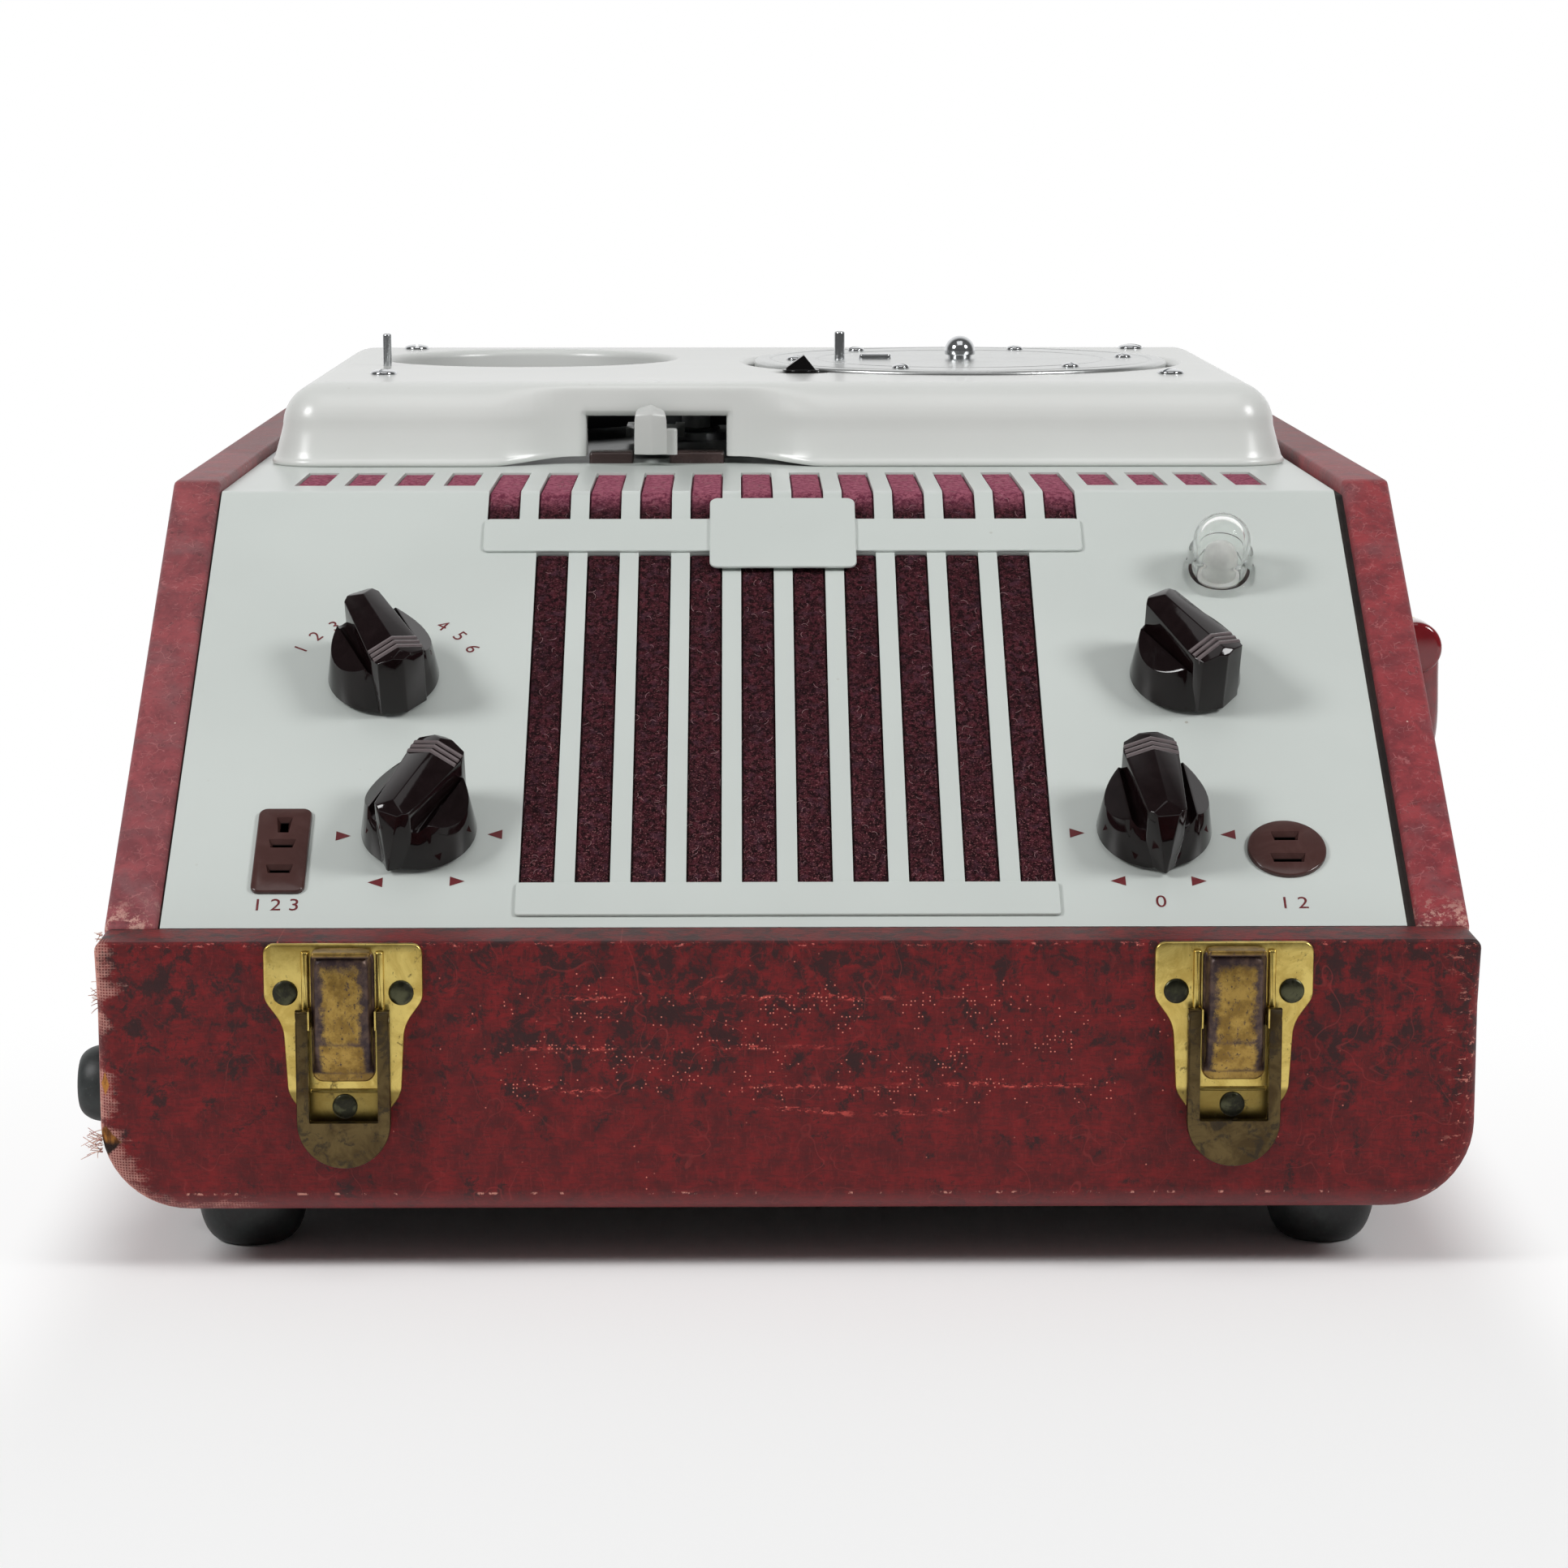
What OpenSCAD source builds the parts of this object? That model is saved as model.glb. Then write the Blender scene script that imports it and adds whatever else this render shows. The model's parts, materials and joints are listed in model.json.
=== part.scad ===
// Portable wire recorder in a covered plywood case: sloped control panel with a slotted
// loudspeaker grille, raised reel deck, amplifier, latches for a lid and a carrying handle.
// Case coordinates: X from the middle, Y back from the front face, Z up from the floor.

/* [Case] */
// Width of the case over its side boards
case_w = 296; // [288:1:320]
// Depth of the case from its front face to its rear face
case_d = 410; // [404:1:440]
// Thickness of the side boards with their cover
side_t = 11.5; // [10:0.5:13]
// Thickness of the bottom and rear boards
wall_t = 9.5; // [8:0.5:11]
// Thickness of the front board with its turned-in cover
front_t = 14.5; // [12:0.5:16]
// Height of the front board
front_h = 59.8; // [57:0.2:70]
// Radius of the bottom edges along the case's length
corner_r = 19; // [14:1:22]
// Height of the side boards above the slope of the panel
slope_rise = 0.8; // [0:0.2:2]
// Height of the side boards above the flat part of the panel
flat_rise = 2.5; // [1:0.5:5]
// Width of the support strips under the panel
cleat_w = 12; // [9:1:15]
// Depth of the support strips under the panel
cleat_h = 14; // [10:1:18]

/* [Feet and bumpers] */
// Radius of the rubber feet
foot_r = 12; // [11.5:0.5:13]
// Rounding of the lower edge of the feet
foot_round = 5; // [4:0.5:5.5]
// Height of the rubber feet
foot_h = 13.8; // [12:0.2:18]
// Radius of the side bumpers
bumper_r = 8.5; // [8:0.5:10]
// Rounding of the outer edge of the side bumpers
bumper_round = 3; // [2:0.5:3]
// Height of the side bumpers
bumper_h = 8; // [8:0.5:12]
// Distance of the feet from the sides of the case
foot_side = 29; // [28:1:46]
// Distance of the front and rear feet from the ends of the case
foot_inset = 32; // [30:1:60]
// Height of the lower side bumpers above the case's bottom
bumper_low = 22.5; // [22:0.5:36]
// Height of the upper side bumpers above the case's bottom
bumper_high = 90; // [80:1:118]
// Distance of the lower bumpers from the ends of the case
bumper_inset = 28; // [27:1:60]

/* [Handle] */
// Height of the handle's pivots above the case's bottom
handle_rise = 103.5; // [90:0.5:110]
// Length of the handle along the case
handle_len = 122; // [110:1:140]
// Radius of the handle's ends at the pivots
arm_r = 6.5; // [6:0.5:8.5]
// Width of each handle end along the case
arm_w = 13; // [11:1:16]
// Drop of the grip's middle below the pivots
grip_drop = 26; // [22:1:46]
// Radius of the grip
grip_r = 6; // [5.5:0.5:8]
// Radius of the pivot pins
handle_pin_r = 2.5; // [2:0.25:3]

/* [Latches] */
// Distance of the latches from the sides of the case
latch_side = 53; // [38:1:68]
// Width of the latch plate over its ears
latch_w = 33.9; // [32:0.1:38]
// Width of the latch plate below its ears
latch_neck_w = 26; // [25.2:0.2:30]
// Height of the latch plate
latch_h = 40; // [39:0.5:42]
// Thickness of the latch plate
latch_t = 1.2; // [1:0.1:1.6]
// Width of the sliding hook
hook_w = 13.5; // [12:0.1:13.8]
// Height of the sliding hook
hook_h = 28.9; // [26:0.1:31]
// Depth of the sliding hook
hook_d = 4.6; // [4:0.2:5]
// Width of the lever
lever_w = 20; // [19.4:0.1:20.2]
// Width of the window in the lever
lever_gap = 14.6; // [14.5:0.1:15]
// Length of the lever below its pivot
lever_len = 32.4; // [31:0.2:35]
// Depth of the pivot below the top of the plate
lever_drop = 16; // [15:0.5:17]

/* [Control panel] */
// Slope of the control panel in degrees
slope = 33.8; // [31:0.1:36]
// Length of the sloped part
slope_len = 149.5; // [146:0.5:156]
// Thickness of the panel and of the deck plate
sheet_t = 1.2; // [1:0.1:1.6]
// Radius of the bend at the top of the slope
bend_r = 4; // [3:0.5:6]
// Gap between the panel and the left side board
gap_left = 0.5; // [0.3:0.1:1]
// Gap between the panel and the right side board
gap_right = 2.1; // [0.5:0.1:3]
// Pitch of the grille slots
slot_pitch = 12.23; // [11.8:0.01:12.4]
// Width of a grille slot
slot_w = 7.77; // [6:0.01:8.4]
// Start of the lower slots, up the slope
slot_low = 13.3; // [12:0.1:16]
// End of the lower slots, up the slope
slot_high = 126.2; // [122:0.1:127]
// Start of the upper slots, up the slope
slot_upper = 138.1; // [136:0.1:140]
// End of the upper slots, behind the bend
slot_back = 51; // [40:1:56]

/* [Controls] */
// Radius of a knob's skirt
knob_r = 12.8; // [12:0.1:13.5]
// Height of a knob
knob_h = 18.6; // [17:0.2:20]
// Radius of the control shafts
shaft_r = 3.15; // [2.5:0.05:3.3]
// Radius of the controls behind the panel
control_r = 12; // [11:0.5:12.5]
// Distance of the two lower knobs from the sides of the case
lower_knob_side = 66.5; // [64:0.5:68]
// Place of the two lower knobs up the slope
lower_knob_u = 29.5; // [28:0.5:32]
// Distance of the two upper knobs from the sides of the case
upper_knob_side = 55.5; // [52:0.5:60]
// Place of the two upper knobs up the slope
upper_knob_u = 80.9; // [70:0.1:88]
// Distance of the pilot lamp from the right side of the case
lamp_side = 44.4; // [38:0.1:48]
// Place of the pilot lamp up the slope
lamp_u = 118; // [114:0.5:122]
// Radius of the pilot lamp's lens
lamp_r = 7.75; // [7:0.05:8.5]
// Height of the pilot lamp's lens
lamp_h = 17; // [15:0.5:20]
// Distance of the sockets from the sides of the case
socket_side = 37.5; // [35:0.5:40]
// Place of the sockets up the slope
socket_u = 23.6; // [22:0.2:25]
// Width of the input socket
input_w = 11.8; // [11:0.1:13]
// Length of the input socket
input_h = 26.4; // [25:0.1:29]
// Radius of the output socket
output_r = 8.75; // [8:0.05:9.5]

/* [Loudspeaker] */
// Radius of the loudspeaker's rim
speaker_r = 60; // [54:1:62]
// Depth of the loudspeaker's basket
basket_d = 36; // [30:1:42]
// Radius of the loudspeaker's magnet
magnet_r = 26; // [22:1:30]
// Depth of the loudspeaker's magnet
magnet_d = 20; // [16:1:24]

/* [Reel deck] */
// Gap between the deck cover and the rear board
deck_rear = 11.3; // [8:0.1:14]
// Gap between the deck cover and the side boards
deck_side = 3.7; // [2.5:0.1:7]
// Depth of the deck cover
deck_d = 182; // [179:1:185]
// Height of the deck cover
deck_h = 21.2; // [20:0.2:22]
// Radius of the cover's top edges
cover_r = 11; // [8:0.5:12]
// Thickness of the cover's sheet
cover_t = 1.2; // [1:0.1:1.6]
// Radius of the take-up drum
drum_r = 58; // [56:0.5:59]
// Sideways place of the take-up drum
drum_x = 52; // [50:0.5:54]
// Depth of the take-up drum behind the cover's front
drum_y = 99.7; // [97:0.1:102]
// Radius of the supply turntable
table_r = 36; // [35:0.5:37]
// Radius of the spool well
well_r = 41; // [40:0.5:42]
// Sideways place of the spool well
well_x = -70; // [-72:0.5:-68]
// Depth of the spool well behind the cover's front
well_y = 117.7; // [115:0.1:120]
// Radius of the spindle that takes a spool of wire
spindle_r = 4.75; // [4:0.05:5.5]
// Length of the spindle above the turntable
spindle_len = 8; // [6:0.5:9]
// Radius of the reel shafts below the deck
reel_shaft_r = 3.5; // [3:0.1:4]

/* [Drive] */
// Radius of the motor's pulley
pulley_r = 4; // [3.5:0.1:4.5]
// Radius of the motor's case
motor_r = 30; // [26:1:33]
// Height of the motor's case
motor_h = 45; // [40:1:50]
// Free gap on each side of the idler wheel when stopped
idler_gap = 1.06; // [0.9:0.02:1.2]
// Sideways place of the run and rewind lever
control_lever_x = -33.4; // [-35:0.1:-31]
// Distance of the lever's pivot behind the cover's front
lever_pivot_y = 60.7; // [59:0.1:63]
// Width of the lever's slot in the cover
lever_slot_w = 36.6; // [34:0.2:40]
// Travel of the recording head up and down
head_travel = 7; // [4:0.5:7]

/* [Amplifier] */
// Width of the amplifier chassis
chassis_w = 216; // [200:1:230]
// Depth of the amplifier chassis
chassis_d = 148; // [140:1:160]
// Height of the amplifier chassis
chassis_h = 40; // [34:1:46]
// Distance of the chassis from the case's front face
chassis_y = 152; // [148:1:160]
// Radius of the valves
tube_r = 10; // [8:0.5:12]
// Height of the valves above their sockets
tube_h = 50; // [44:1:56]

/* [Hidden] */
$fn = 64;
hull_fn = 32;

// Clearances
run_gap = 0.05;
seat_gap = 0.1;
safe_gap = 0.3;
past = 1;

// Places of the panel and the deck
case_z = foot_h;
front_top = case_z + front_h;
panel_y = front_t + 0.7;
bend_y = panel_y + slope_len * cos(slope);
bend_z = front_top + slope_len * sin(slope);
side_top = bend_z + flat_rise;
inner_x = case_w / 2 - side_t;
inner_y = case_d - wall_t;
deck_w = 2 * (inner_x - deck_side);
deck_y = inner_y - deck_rear - deck_d;
deck_z = bend_z;
floor_z = case_z + wall_t;
panel_left = gap_left - inner_x;
panel_right = inner_x - gap_right;
plate_y = deck_y + 27;
drum_at = [drum_x, deck_y + drum_y];
well_at = [well_x, deck_y + well_y];
foot_x = case_w / 2 - foot_side;
latch_x = case_w / 2 - latch_side;
lower_knob_x = case_w / 2 - lower_knob_side;
upper_knob_x = case_w / 2 - upper_knob_side;
lamp_x = case_w / 2 - lamp_side;
socket_x = case_w / 2 - socket_side;

// Frame origin: the middle of the whole object's footprint
hinge_reach = 5.4;
hook_lip = 1.2;
latch_reach = latch_t + safe_gap + hook_d + hook_lip;
bracket_t = 1.5;
handle_off = arm_r + bracket_t + safe_gap;
middle_x = (handle_off + arm_r - bumper_h) / 2;
middle_y = (case_d + hinge_reach - latch_reach) / 2;

// A point of the panel's bent line at a depth below its face
function bend_at(depth) = [bend_y + depth * tan(slope / 2), bend_z - depth];
function low_end(depth) = [panel_y + depth * sin(slope), front_top - depth * cos(slope)];
function on_slope(u, depth) = [
    panel_y + u * cos(slope) + depth * sin(slope),
    front_top + u * sin(slope) - depth * cos(slope)];
function bend_arc(depth) = depth >= bend_r ? [bend_at(depth)] : [for (i = [0 : 4])
    bend_at(bend_r) + (bend_r - depth) * [cos(90 + slope * (1 - i / 4)), sin(90 + slope * (1 - i / 4))]];
function reversed(list) = [for (i = [len(list) - 1 : -1 : 0]) list[i]];

module placed() {
    translate([-middle_x, -middle_y, 0])
        children();
}

// Extrudes an outline drawn in Y and Z along X
module along_x(x0, x1) {
    translate([x0, 0, 0])
        rotate([90, 0, 90])
            linear_extrude(x1 - x0)
                children();
}

// Extrudes an outline drawn in X and Z along Y
module along_y(y0, y1) {
    translate([0, y1, 0])
        rotate([90, 0, 0])
            linear_extrude(y1 - y0)
                children();
}

// Puts children on the slope: X across, Y up the slope, Z out of the panel
module on_panel(x, u, h = 0) {
    translate([x, panel_y, front_top])
        rotate([slope, 0, 0])
            translate([0, u, h])
                children();
}

module rounded_square(w, h, r) {
    square([w - 2 * r, h], center = true);
    square([w, h - 2 * r], center = true);
    for (sx = [-1, 1], sy = [-1, 1])
        translate([sx * (w / 2 - r), sy * (h / 2 - r)])
            circle(r);
}

// A sheet that follows the panel's bend between two depths and up to y_end
module bent_sheet(x0, x1, depth0, depth1, y_end, u_start = 0) {
    along_x(x0, x1)
        polygon(concat([on_slope(u_start, depth0)], bend_arc(depth0),
            [[y_end, bend_z - depth0], [y_end, bend_z - depth1]],
            reversed(bend_arc(depth1)), [on_slope(u_start, depth1)]));
}

// Case boards

module board_outline(h) {
    translate([-case_w / 2, case_z + corner_r])
        square([case_w, h - corner_r]);
    translate([corner_r - case_w / 2, case_z])
        square([case_w - 2 * corner_r, corner_r]);
    for (sx = [-1, 1])
        translate([sx * (case_w / 2 - corner_r), case_z + corner_r])
            circle(corner_r);
}

module bottom_board() {
    color("sienna")
        difference() {
            translate([corner_r - case_w / 2, front_t, case_z])
                cube([case_w - 2 * corner_r, inner_y - front_t, wall_t]);
            for (p = foot_places)
                translate([p[0], p[1], case_z - past])
                    cylinder(r = screw_r + seat_gap, h = screw_grip + past);
        }
}

// Rise of the side boards' sloped top over the panel, measured straight up
slope_lift = slope_rise / cos(slope);
board_front_z = front_top + slope_lift + (front_t - panel_y) * tan(slope);
board_bend_y = bend_y + (flat_rise - slope_lift) / tan(slope);

module side_board_outline() {
    polygon([[front_t, case_z + corner_r], [inner_y, case_z + corner_r], [inner_y, side_top],
        [board_bend_y, side_top], [front_t, board_front_z]]);
}

module side_boards() {
    color("firebrick")
        difference() {
            union() {
                along_x(-case_w / 2, -inner_x)
                    side_board_outline();
                along_x(inner_x, case_w / 2)
                    side_board_outline();
            }
            for (p = bumper_places)
                translate([-case_w / 2 - past, p[0], p[1]])
                    rotate([0, 90, 0])
                        cylinder(r = screw_r + seat_gap, h = screw_grip + past);
            for (p = bracket_screw_places)
                translate([case_w / 2 + past, p[0], p[1]])
                    rotate([0, -90, 0])
                        cylinder(r = screw_r + seat_gap, h = screw_grip + past);
        }
}

module corner_rail() {
    along_y(front_t, inner_y)
        translate([case_w / 2 - corner_r, case_z + corner_r])
            intersection() {
                difference() {
                    circle(corner_r);
                    circle(corner_r - wall_t);
                }
                translate([0, -corner_r])
                    square(corner_r);
            }
}

module corner_rails() {
    color("firebrick")
        for (side = [0, 1])
            mirror([side, 0, 0])
                corner_rail();
}

module front_board() {
    color("firebrick")
        difference() {
            along_y(0, front_t)
                board_outline(front_h);
            for (side = [-1, 1], p = rivet_places)
                translate([side * latch_x + p[0], rivet_grip, front_top + p[1]])
                    rotate([90, 0, 0])
                        cylinder(r = rivet_shank_r + seat_gap, h = rivet_grip + past);
        }
}

// Place of the mains cord's hole in the rear board
grommet_at = [95, case_z + 46];
grommet_r = 8;
grommet_bore_r = 4;

module rear_board() {
    color("firebrick")
        difference() {
            along_y(inner_y, case_d)
                board_outline(side_top - case_z);
            translate([grommet_at[0], case_d + past, grommet_at[1]])
                rotate([90, 0, 0])
                    cylinder(r = grommet_r + seat_gap, h = wall_t + 2 * past);
        }
}

module cord_grommet() {
    lip = 2;
    color("dimgray")
        translate([grommet_at[0], case_d, grommet_at[1]])
            rotate([-90, 0, 0])
                difference() {
                    union() {
                        translate([0, 0, -wall_t])
                            cylinder(r = grommet_r, h = wall_t);
                        cylinder(r1 = grommet_r + lip, r2 = grommet_r, h = lip);
                    }
                    translate([0, 0, -wall_t - past])
                        cylinder(r = grommet_bore_r, h = wall_t + lip + 2 * past);
                }
}

module panel_cleats() {
    color("burlywood")
        for (x = [-inner_x, inner_x - cleat_w])
            difference() {
                bent_sheet(x, x + cleat_w, sheet_t, sheet_t + cleat_h, inner_y);
                translate([x - past, 0, 0])
                    cube([cleat_w + 2 * past, front_t, bend_z]);
            }
}

// Feet, bumpers and their screws

screw_r = 1.9;
screw_head_r = 3.6;
screw_head_h = 2.2;
screw_grip = 7;
foot_seat = 5;
foot_places = [for (x = [-foot_x, foot_x], y = [foot_inset, case_d - foot_inset]) [x, y]];
bumper_places = [[bumper_inset, case_z + bumper_low], [case_d - bumper_inset, case_z + bumper_low],
    [175, case_z + bumper_high], [case_d - bumper_inset, case_z + bumper_high]];

// A turned rubber foot with its face at z = 0, standing out along -Z
module rubber_foot(r, h, edge) {
    rotate_extrude()
        difference() {
            union() {
                translate([0, edge - h])
                    square([r, h - edge]);
                translate([0, -h])
                    square([r - edge, edge]);
                translate([r - edge, edge - h])
                    circle(edge);
            }
            translate([0, -h - past])
                square([screw_head_r + 1.4, h - foot_seat + past]);
            translate([0, -h])
                square([screw_r + seat_gap, 2 * h]);
        }
}

module foot_screw() {
    translate([0, 0, -foot_seat - screw_head_h])
        cylinder(r = screw_head_r, h = screw_head_h);
    translate([0, 0, -foot_seat])
        cylinder(r = screw_r, h = foot_seat + screw_grip - safe_gap);
}

module rubber_feet() {
    color([0.13, 0.14, 0.14])
        for (p = foot_places)
            translate([p[0], p[1], case_z])
                rubber_foot(foot_r, foot_h, foot_round);
}

module side_bumpers() {
    color([0.13, 0.14, 0.14])
        for (p = bumper_places)
            translate([-case_w / 2, p[0], p[1]])
                rotate([0, 90, 0])
                    rubber_foot(bumper_r, bumper_h, bumper_round);
}

module foot_screws() {
    color("slategray") {
        for (p = foot_places)
            translate([p[0], p[1], case_z])
                foot_screw();
        for (p = bumper_places)
            translate([-case_w / 2, p[0], p[1]])
                rotate([0, 90, 0])
                    foot_screw();
    }
}

// Handle, hanging from two pivots on the right side board

handle_x = case_w / 2 + handle_off;
handle_z = case_z + handle_rise;
handle_y = case_d / 2 - handle_len / 2;
ear_t = 4;
ear_r = 6;
ear_y = handle_y + arm_w + safe_gap;
bracket_w = 20;
bracket_h = 40;
pin_depth = arm_w - 4;
bracket_screw_y = ear_y + ear_t + (bracket_w - ear_t) / 2;
bracket_screw_places = [for (y = [bracket_screw_y, case_d - bracket_screw_y], sz = [-1, 1])
    [y, handle_z + sz * (bracket_h / 2 - 6)]];

// Draws something at the handle's front end and its mirror image at the rear end
module both_handle_ends() {
    children();
    translate([0, case_d, 0])
        mirror([0, 1, 0])
            children();
}

module handle_grip() {
    color([0.42, 0.08, 0.11])
        difference() {
            union() {
                both_handle_ends()
                    hull()
                        for (drop = [[0, arm_r], [grip_drop, grip_r]])
                            translate([handle_x, handle_y, handle_z - drop[0]])
                                rotate([-90, 0, 0])
                                    cylinder(r = drop[1], h = arm_w, $fn = hull_fn);
                translate([handle_x, handle_y + arm_w / 2, handle_z - grip_drop])
                    rotate([-90, 0, 0])
                        cylinder(r = grip_r, h = handle_len - arm_w);
            }
            both_handle_ends()
                translate([handle_x, handle_y + arm_w - pin_depth, handle_z])
                    rotate([-90, 0, 0])
                        cylinder(r = handle_pin_r + run_gap, h = pin_depth + past);
        }
}

module handle_brackets() {
    color("darkgoldenrod")
        both_handle_ends()
            difference() {
                union() {
                    translate([case_w / 2, ear_y, handle_z - bracket_h / 2])
                        cube([bracket_t, bracket_w, bracket_h]);
                    translate([case_w / 2 + bracket_t / 2, ear_y, handle_z - ear_r])
                        cube([handle_off - bracket_t / 2, ear_t, 2 * ear_r]);
                    translate([handle_x, ear_y, handle_z])
                        rotate([-90, 0, 0])
                            cylinder(r = ear_r, h = ear_t);
                }
                translate([handle_x, ear_y - past, handle_z])
                    rotate([-90, 0, 0])
                        cylinder(r = handle_pin_r + run_gap, h = ear_t + 2 * past);
                for (p = bracket_screw_places)
                    translate([case_w / 2 - past, p[0], p[1]])
                        rotate([0, 90, 0])
                            cylinder(r = screw_r + seat_gap, h = bracket_t + 2 * past);
            }
}

module handle_pins() {
    color("silver") {
        both_handle_ends()
            translate([handle_x, ear_y + ear_t, handle_z])
                rotate([90, 0, 0])
                    cylinder(r = handle_pin_r, h = ear_t + pin_depth);
        for (p = bracket_screw_places)
            translate([case_w / 2 + bracket_t, p[0], p[1]])
                rotate([0, -90, 0]) {
                    cylinder(r = screw_r, h = screw_grip);
                    translate([0, 0, -screw_head_h / 2])
                        cylinder(r = screw_head_r, h = screw_head_h / 2);
                }
    }
}

// Latches: a riveted plate, a sliding hook and a lever that swings out

rivet_shank_r = 1.5;
rivet_head_r = 2.7;
rivet_grip = 5;
rivet_places = [[-12.35, -10.8], [12.35, -10.8], [0, -35.6]];
ear_top = 14.7;
guide_h = 1.4;
lever_t = 2.2;
lever_axis_y = -(latch_t + guide_h + safe_gap + lever_t / 2);
latch_ear_t = 1.4;
latch_ear_r = 2.2;
latch_pin_r = 0.9;
latch_ear_x = lever_w / 2 + safe_gap;

module at_latch(side) {
    translate([side * latch_x, 0, front_top])
        children();
}

module latch_plate() {
    difference() {
        union() {
            along_y(-latch_t, 0) {
                translate([0, -ear_top / 2])
                    rounded_square(latch_w, ear_top, 4);
                polygon([[-latch_w / 2, -ear_top / 2], [latch_w / 2, -ear_top / 2],
                    [latch_neck_w / 2, -ear_top - 8], [-latch_neck_w / 2, -ear_top - 8]]);
                translate([0, 3 - (ear_top + latch_h) / 2])
                    rounded_square(latch_neck_w, latch_h - ear_top + 6, 6);
            }
            // guides beside the hook
            for (sx = [-1, 1])
                translate([sx * (hook_w / 2 + safe_gap + 0.9) - 0.9, -latch_t - guide_h, 1 - ear_top])
                    cube([1.8, guide_h, ear_top - 2]);
            // ears that carry the lever's pins
            for (sx = [-1, 1])
                translate([sx * (latch_ear_x + latch_ear_t / 2), 0, -lever_drop]) {
                    translate([-latch_ear_t / 2, lever_axis_y, -latch_ear_r])
                        cube([latch_ear_t, -lever_axis_y - latch_t / 2, 2 * latch_ear_r]);
                    translate([-latch_ear_t / 2, lever_axis_y, 0])
                        rotate([0, 90, 0])
                            cylinder(r = latch_ear_r, h = latch_ear_t);
                }
        }
        for (p = rivet_places)
            translate([p[0], past, p[1]])
                rotate([90, 0, 0])
                    cylinder(r = rivet_shank_r + seat_gap, h = latch_t + 2 * past);
        translate([-latch_w, lever_axis_y, -lever_drop])
            rotate([0, 90, 0])
                cylinder(r = latch_pin_r + run_gap, h = 2 * latch_w);
    }
}

module latch_lever() {
    window_low = -lever_drop - 22.5;
    tab_r = lever_w / 2;
    difference() {
        union() {
            along_y(lever_axis_y - lever_t / 2, lever_axis_y + lever_t / 2) {
                translate([-tab_r, tab_r - lever_drop - lever_len])
                    square([2 * tab_r, lever_len - tab_r]);
                translate([0, tab_r - lever_drop - lever_len])
                    circle(tab_r);
            }
            translate([-tab_r, lever_axis_y, -lever_drop])
                rotate([0, 90, 0])
                    cylinder(r = lever_t, h = lever_w);
        }
        translate([-lever_gap / 2, lever_axis_y - lever_w, window_low])
            cube([lever_gap, 2 * lever_w, lever_len]);
        translate([-lever_w, lever_axis_y, -lever_drop])
            rotate([0, 90, 0])
                cylinder(r = latch_pin_r + run_gap, h = 2 * lever_w);
    }
}

module latch_hook() {
    along_y(-latch_t - safe_gap - hook_d, -latch_t - safe_gap)
        translate([0, -1 - hook_h / 2]) {
            rounded_square(hook_w, hook_h, 3);
            translate([-hook_w / 2, 0])
                square([hook_w, hook_h / 2]);
        }
    along_y(-latch_t - safe_gap - hook_d - hook_lip, -latch_t - safe_gap - hook_d)
        translate([-hook_w / 2, -2.4])
            square([hook_w, 1.4]);
}

module latch_plates() {
    color("darkgoldenrod")
        for (side = [-1, 1])
            at_latch(side)
                latch_plate();
}

module latch_lever_left() {
    color("goldenrod")
        at_latch(-1)
            latch_lever();
}

module latch_lever_right() {
    color("goldenrod")
        at_latch(1)
            latch_lever();
}

module latch_hook_left() {
    color("olive")
        at_latch(-1)
            latch_hook();
}

module latch_hook_right() {
    color("olive")
        at_latch(1)
            latch_hook();
}

module latch_pins() {
    pin_in = lever_gap / 2 + safe_gap;
    color("silver")
        for (side = [-1, 1])
            at_latch(side)
                for (sx = [0, 1])
                    mirror([sx, 0, 0])
                        translate([pin_in, lever_axis_y, -lever_drop])
                            rotate([0, 90, 0])
                                cylinder(r = latch_pin_r, h = latch_ear_x + latch_ear_t - pin_in);
}

module latch_rivets() {
    color("darkolivegreen")
        for (side = [-1, 1], p = rivet_places)
            translate([side * latch_x + p[0], -latch_t, front_top + p[1]])
                rotate([90, 0, 0]) {
                    cylinder(r1 = rivet_head_r, r2 = rivet_head_r - 0.5, h = 0.8);
                    translate([0, 0, -latch_t - rivet_grip + safe_gap])
                        cylinder(r = rivet_shank_r, h = latch_t + rivet_grip - safe_gap);
                }
}

module lid_hinge_leaves() {
    leaf_w = 44;
    leaf_h = 22;
    leaf_t = 1.4;
    knuckle_r = (hinge_reach - leaf_t / 2) / 2;
    color("darkgoldenrod")
        for (side = [-1, 1])
            translate([side * latch_x, case_d, side_top - 1]) {
                translate([-leaf_w / 2, 0, -leaf_h])
                    cube([leaf_w, leaf_t, leaf_h - knuckle_r]);
                difference() {
                    translate([-leaf_w / 2, hinge_reach - knuckle_r, -knuckle_r])
                        rotate([0, 90, 0])
                            cylinder(r = knuckle_r, h = leaf_w / 2);
                    translate([-leaf_w, hinge_reach - knuckle_r, -knuckle_r])
                        rotate([0, 90, 0])
                            cylinder(r = knuckle_r / 2, h = 2 * leaf_w);
                }
            }
}

// Control panel, grille and loudspeaker

strip_front = 15;
cloth_t = 0.8;
cloth_hem = 6;
strip_hem = 4;
trim_t = 0.8;
trim_edge = 0.6;
plate_w = 35;
plate_u0 = 119.3;
plate_u1 = 145;
name_u0 = 3.2;
control_bush_r = 4.7;
socket_depth = 12;
holder_r = 6;

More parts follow.
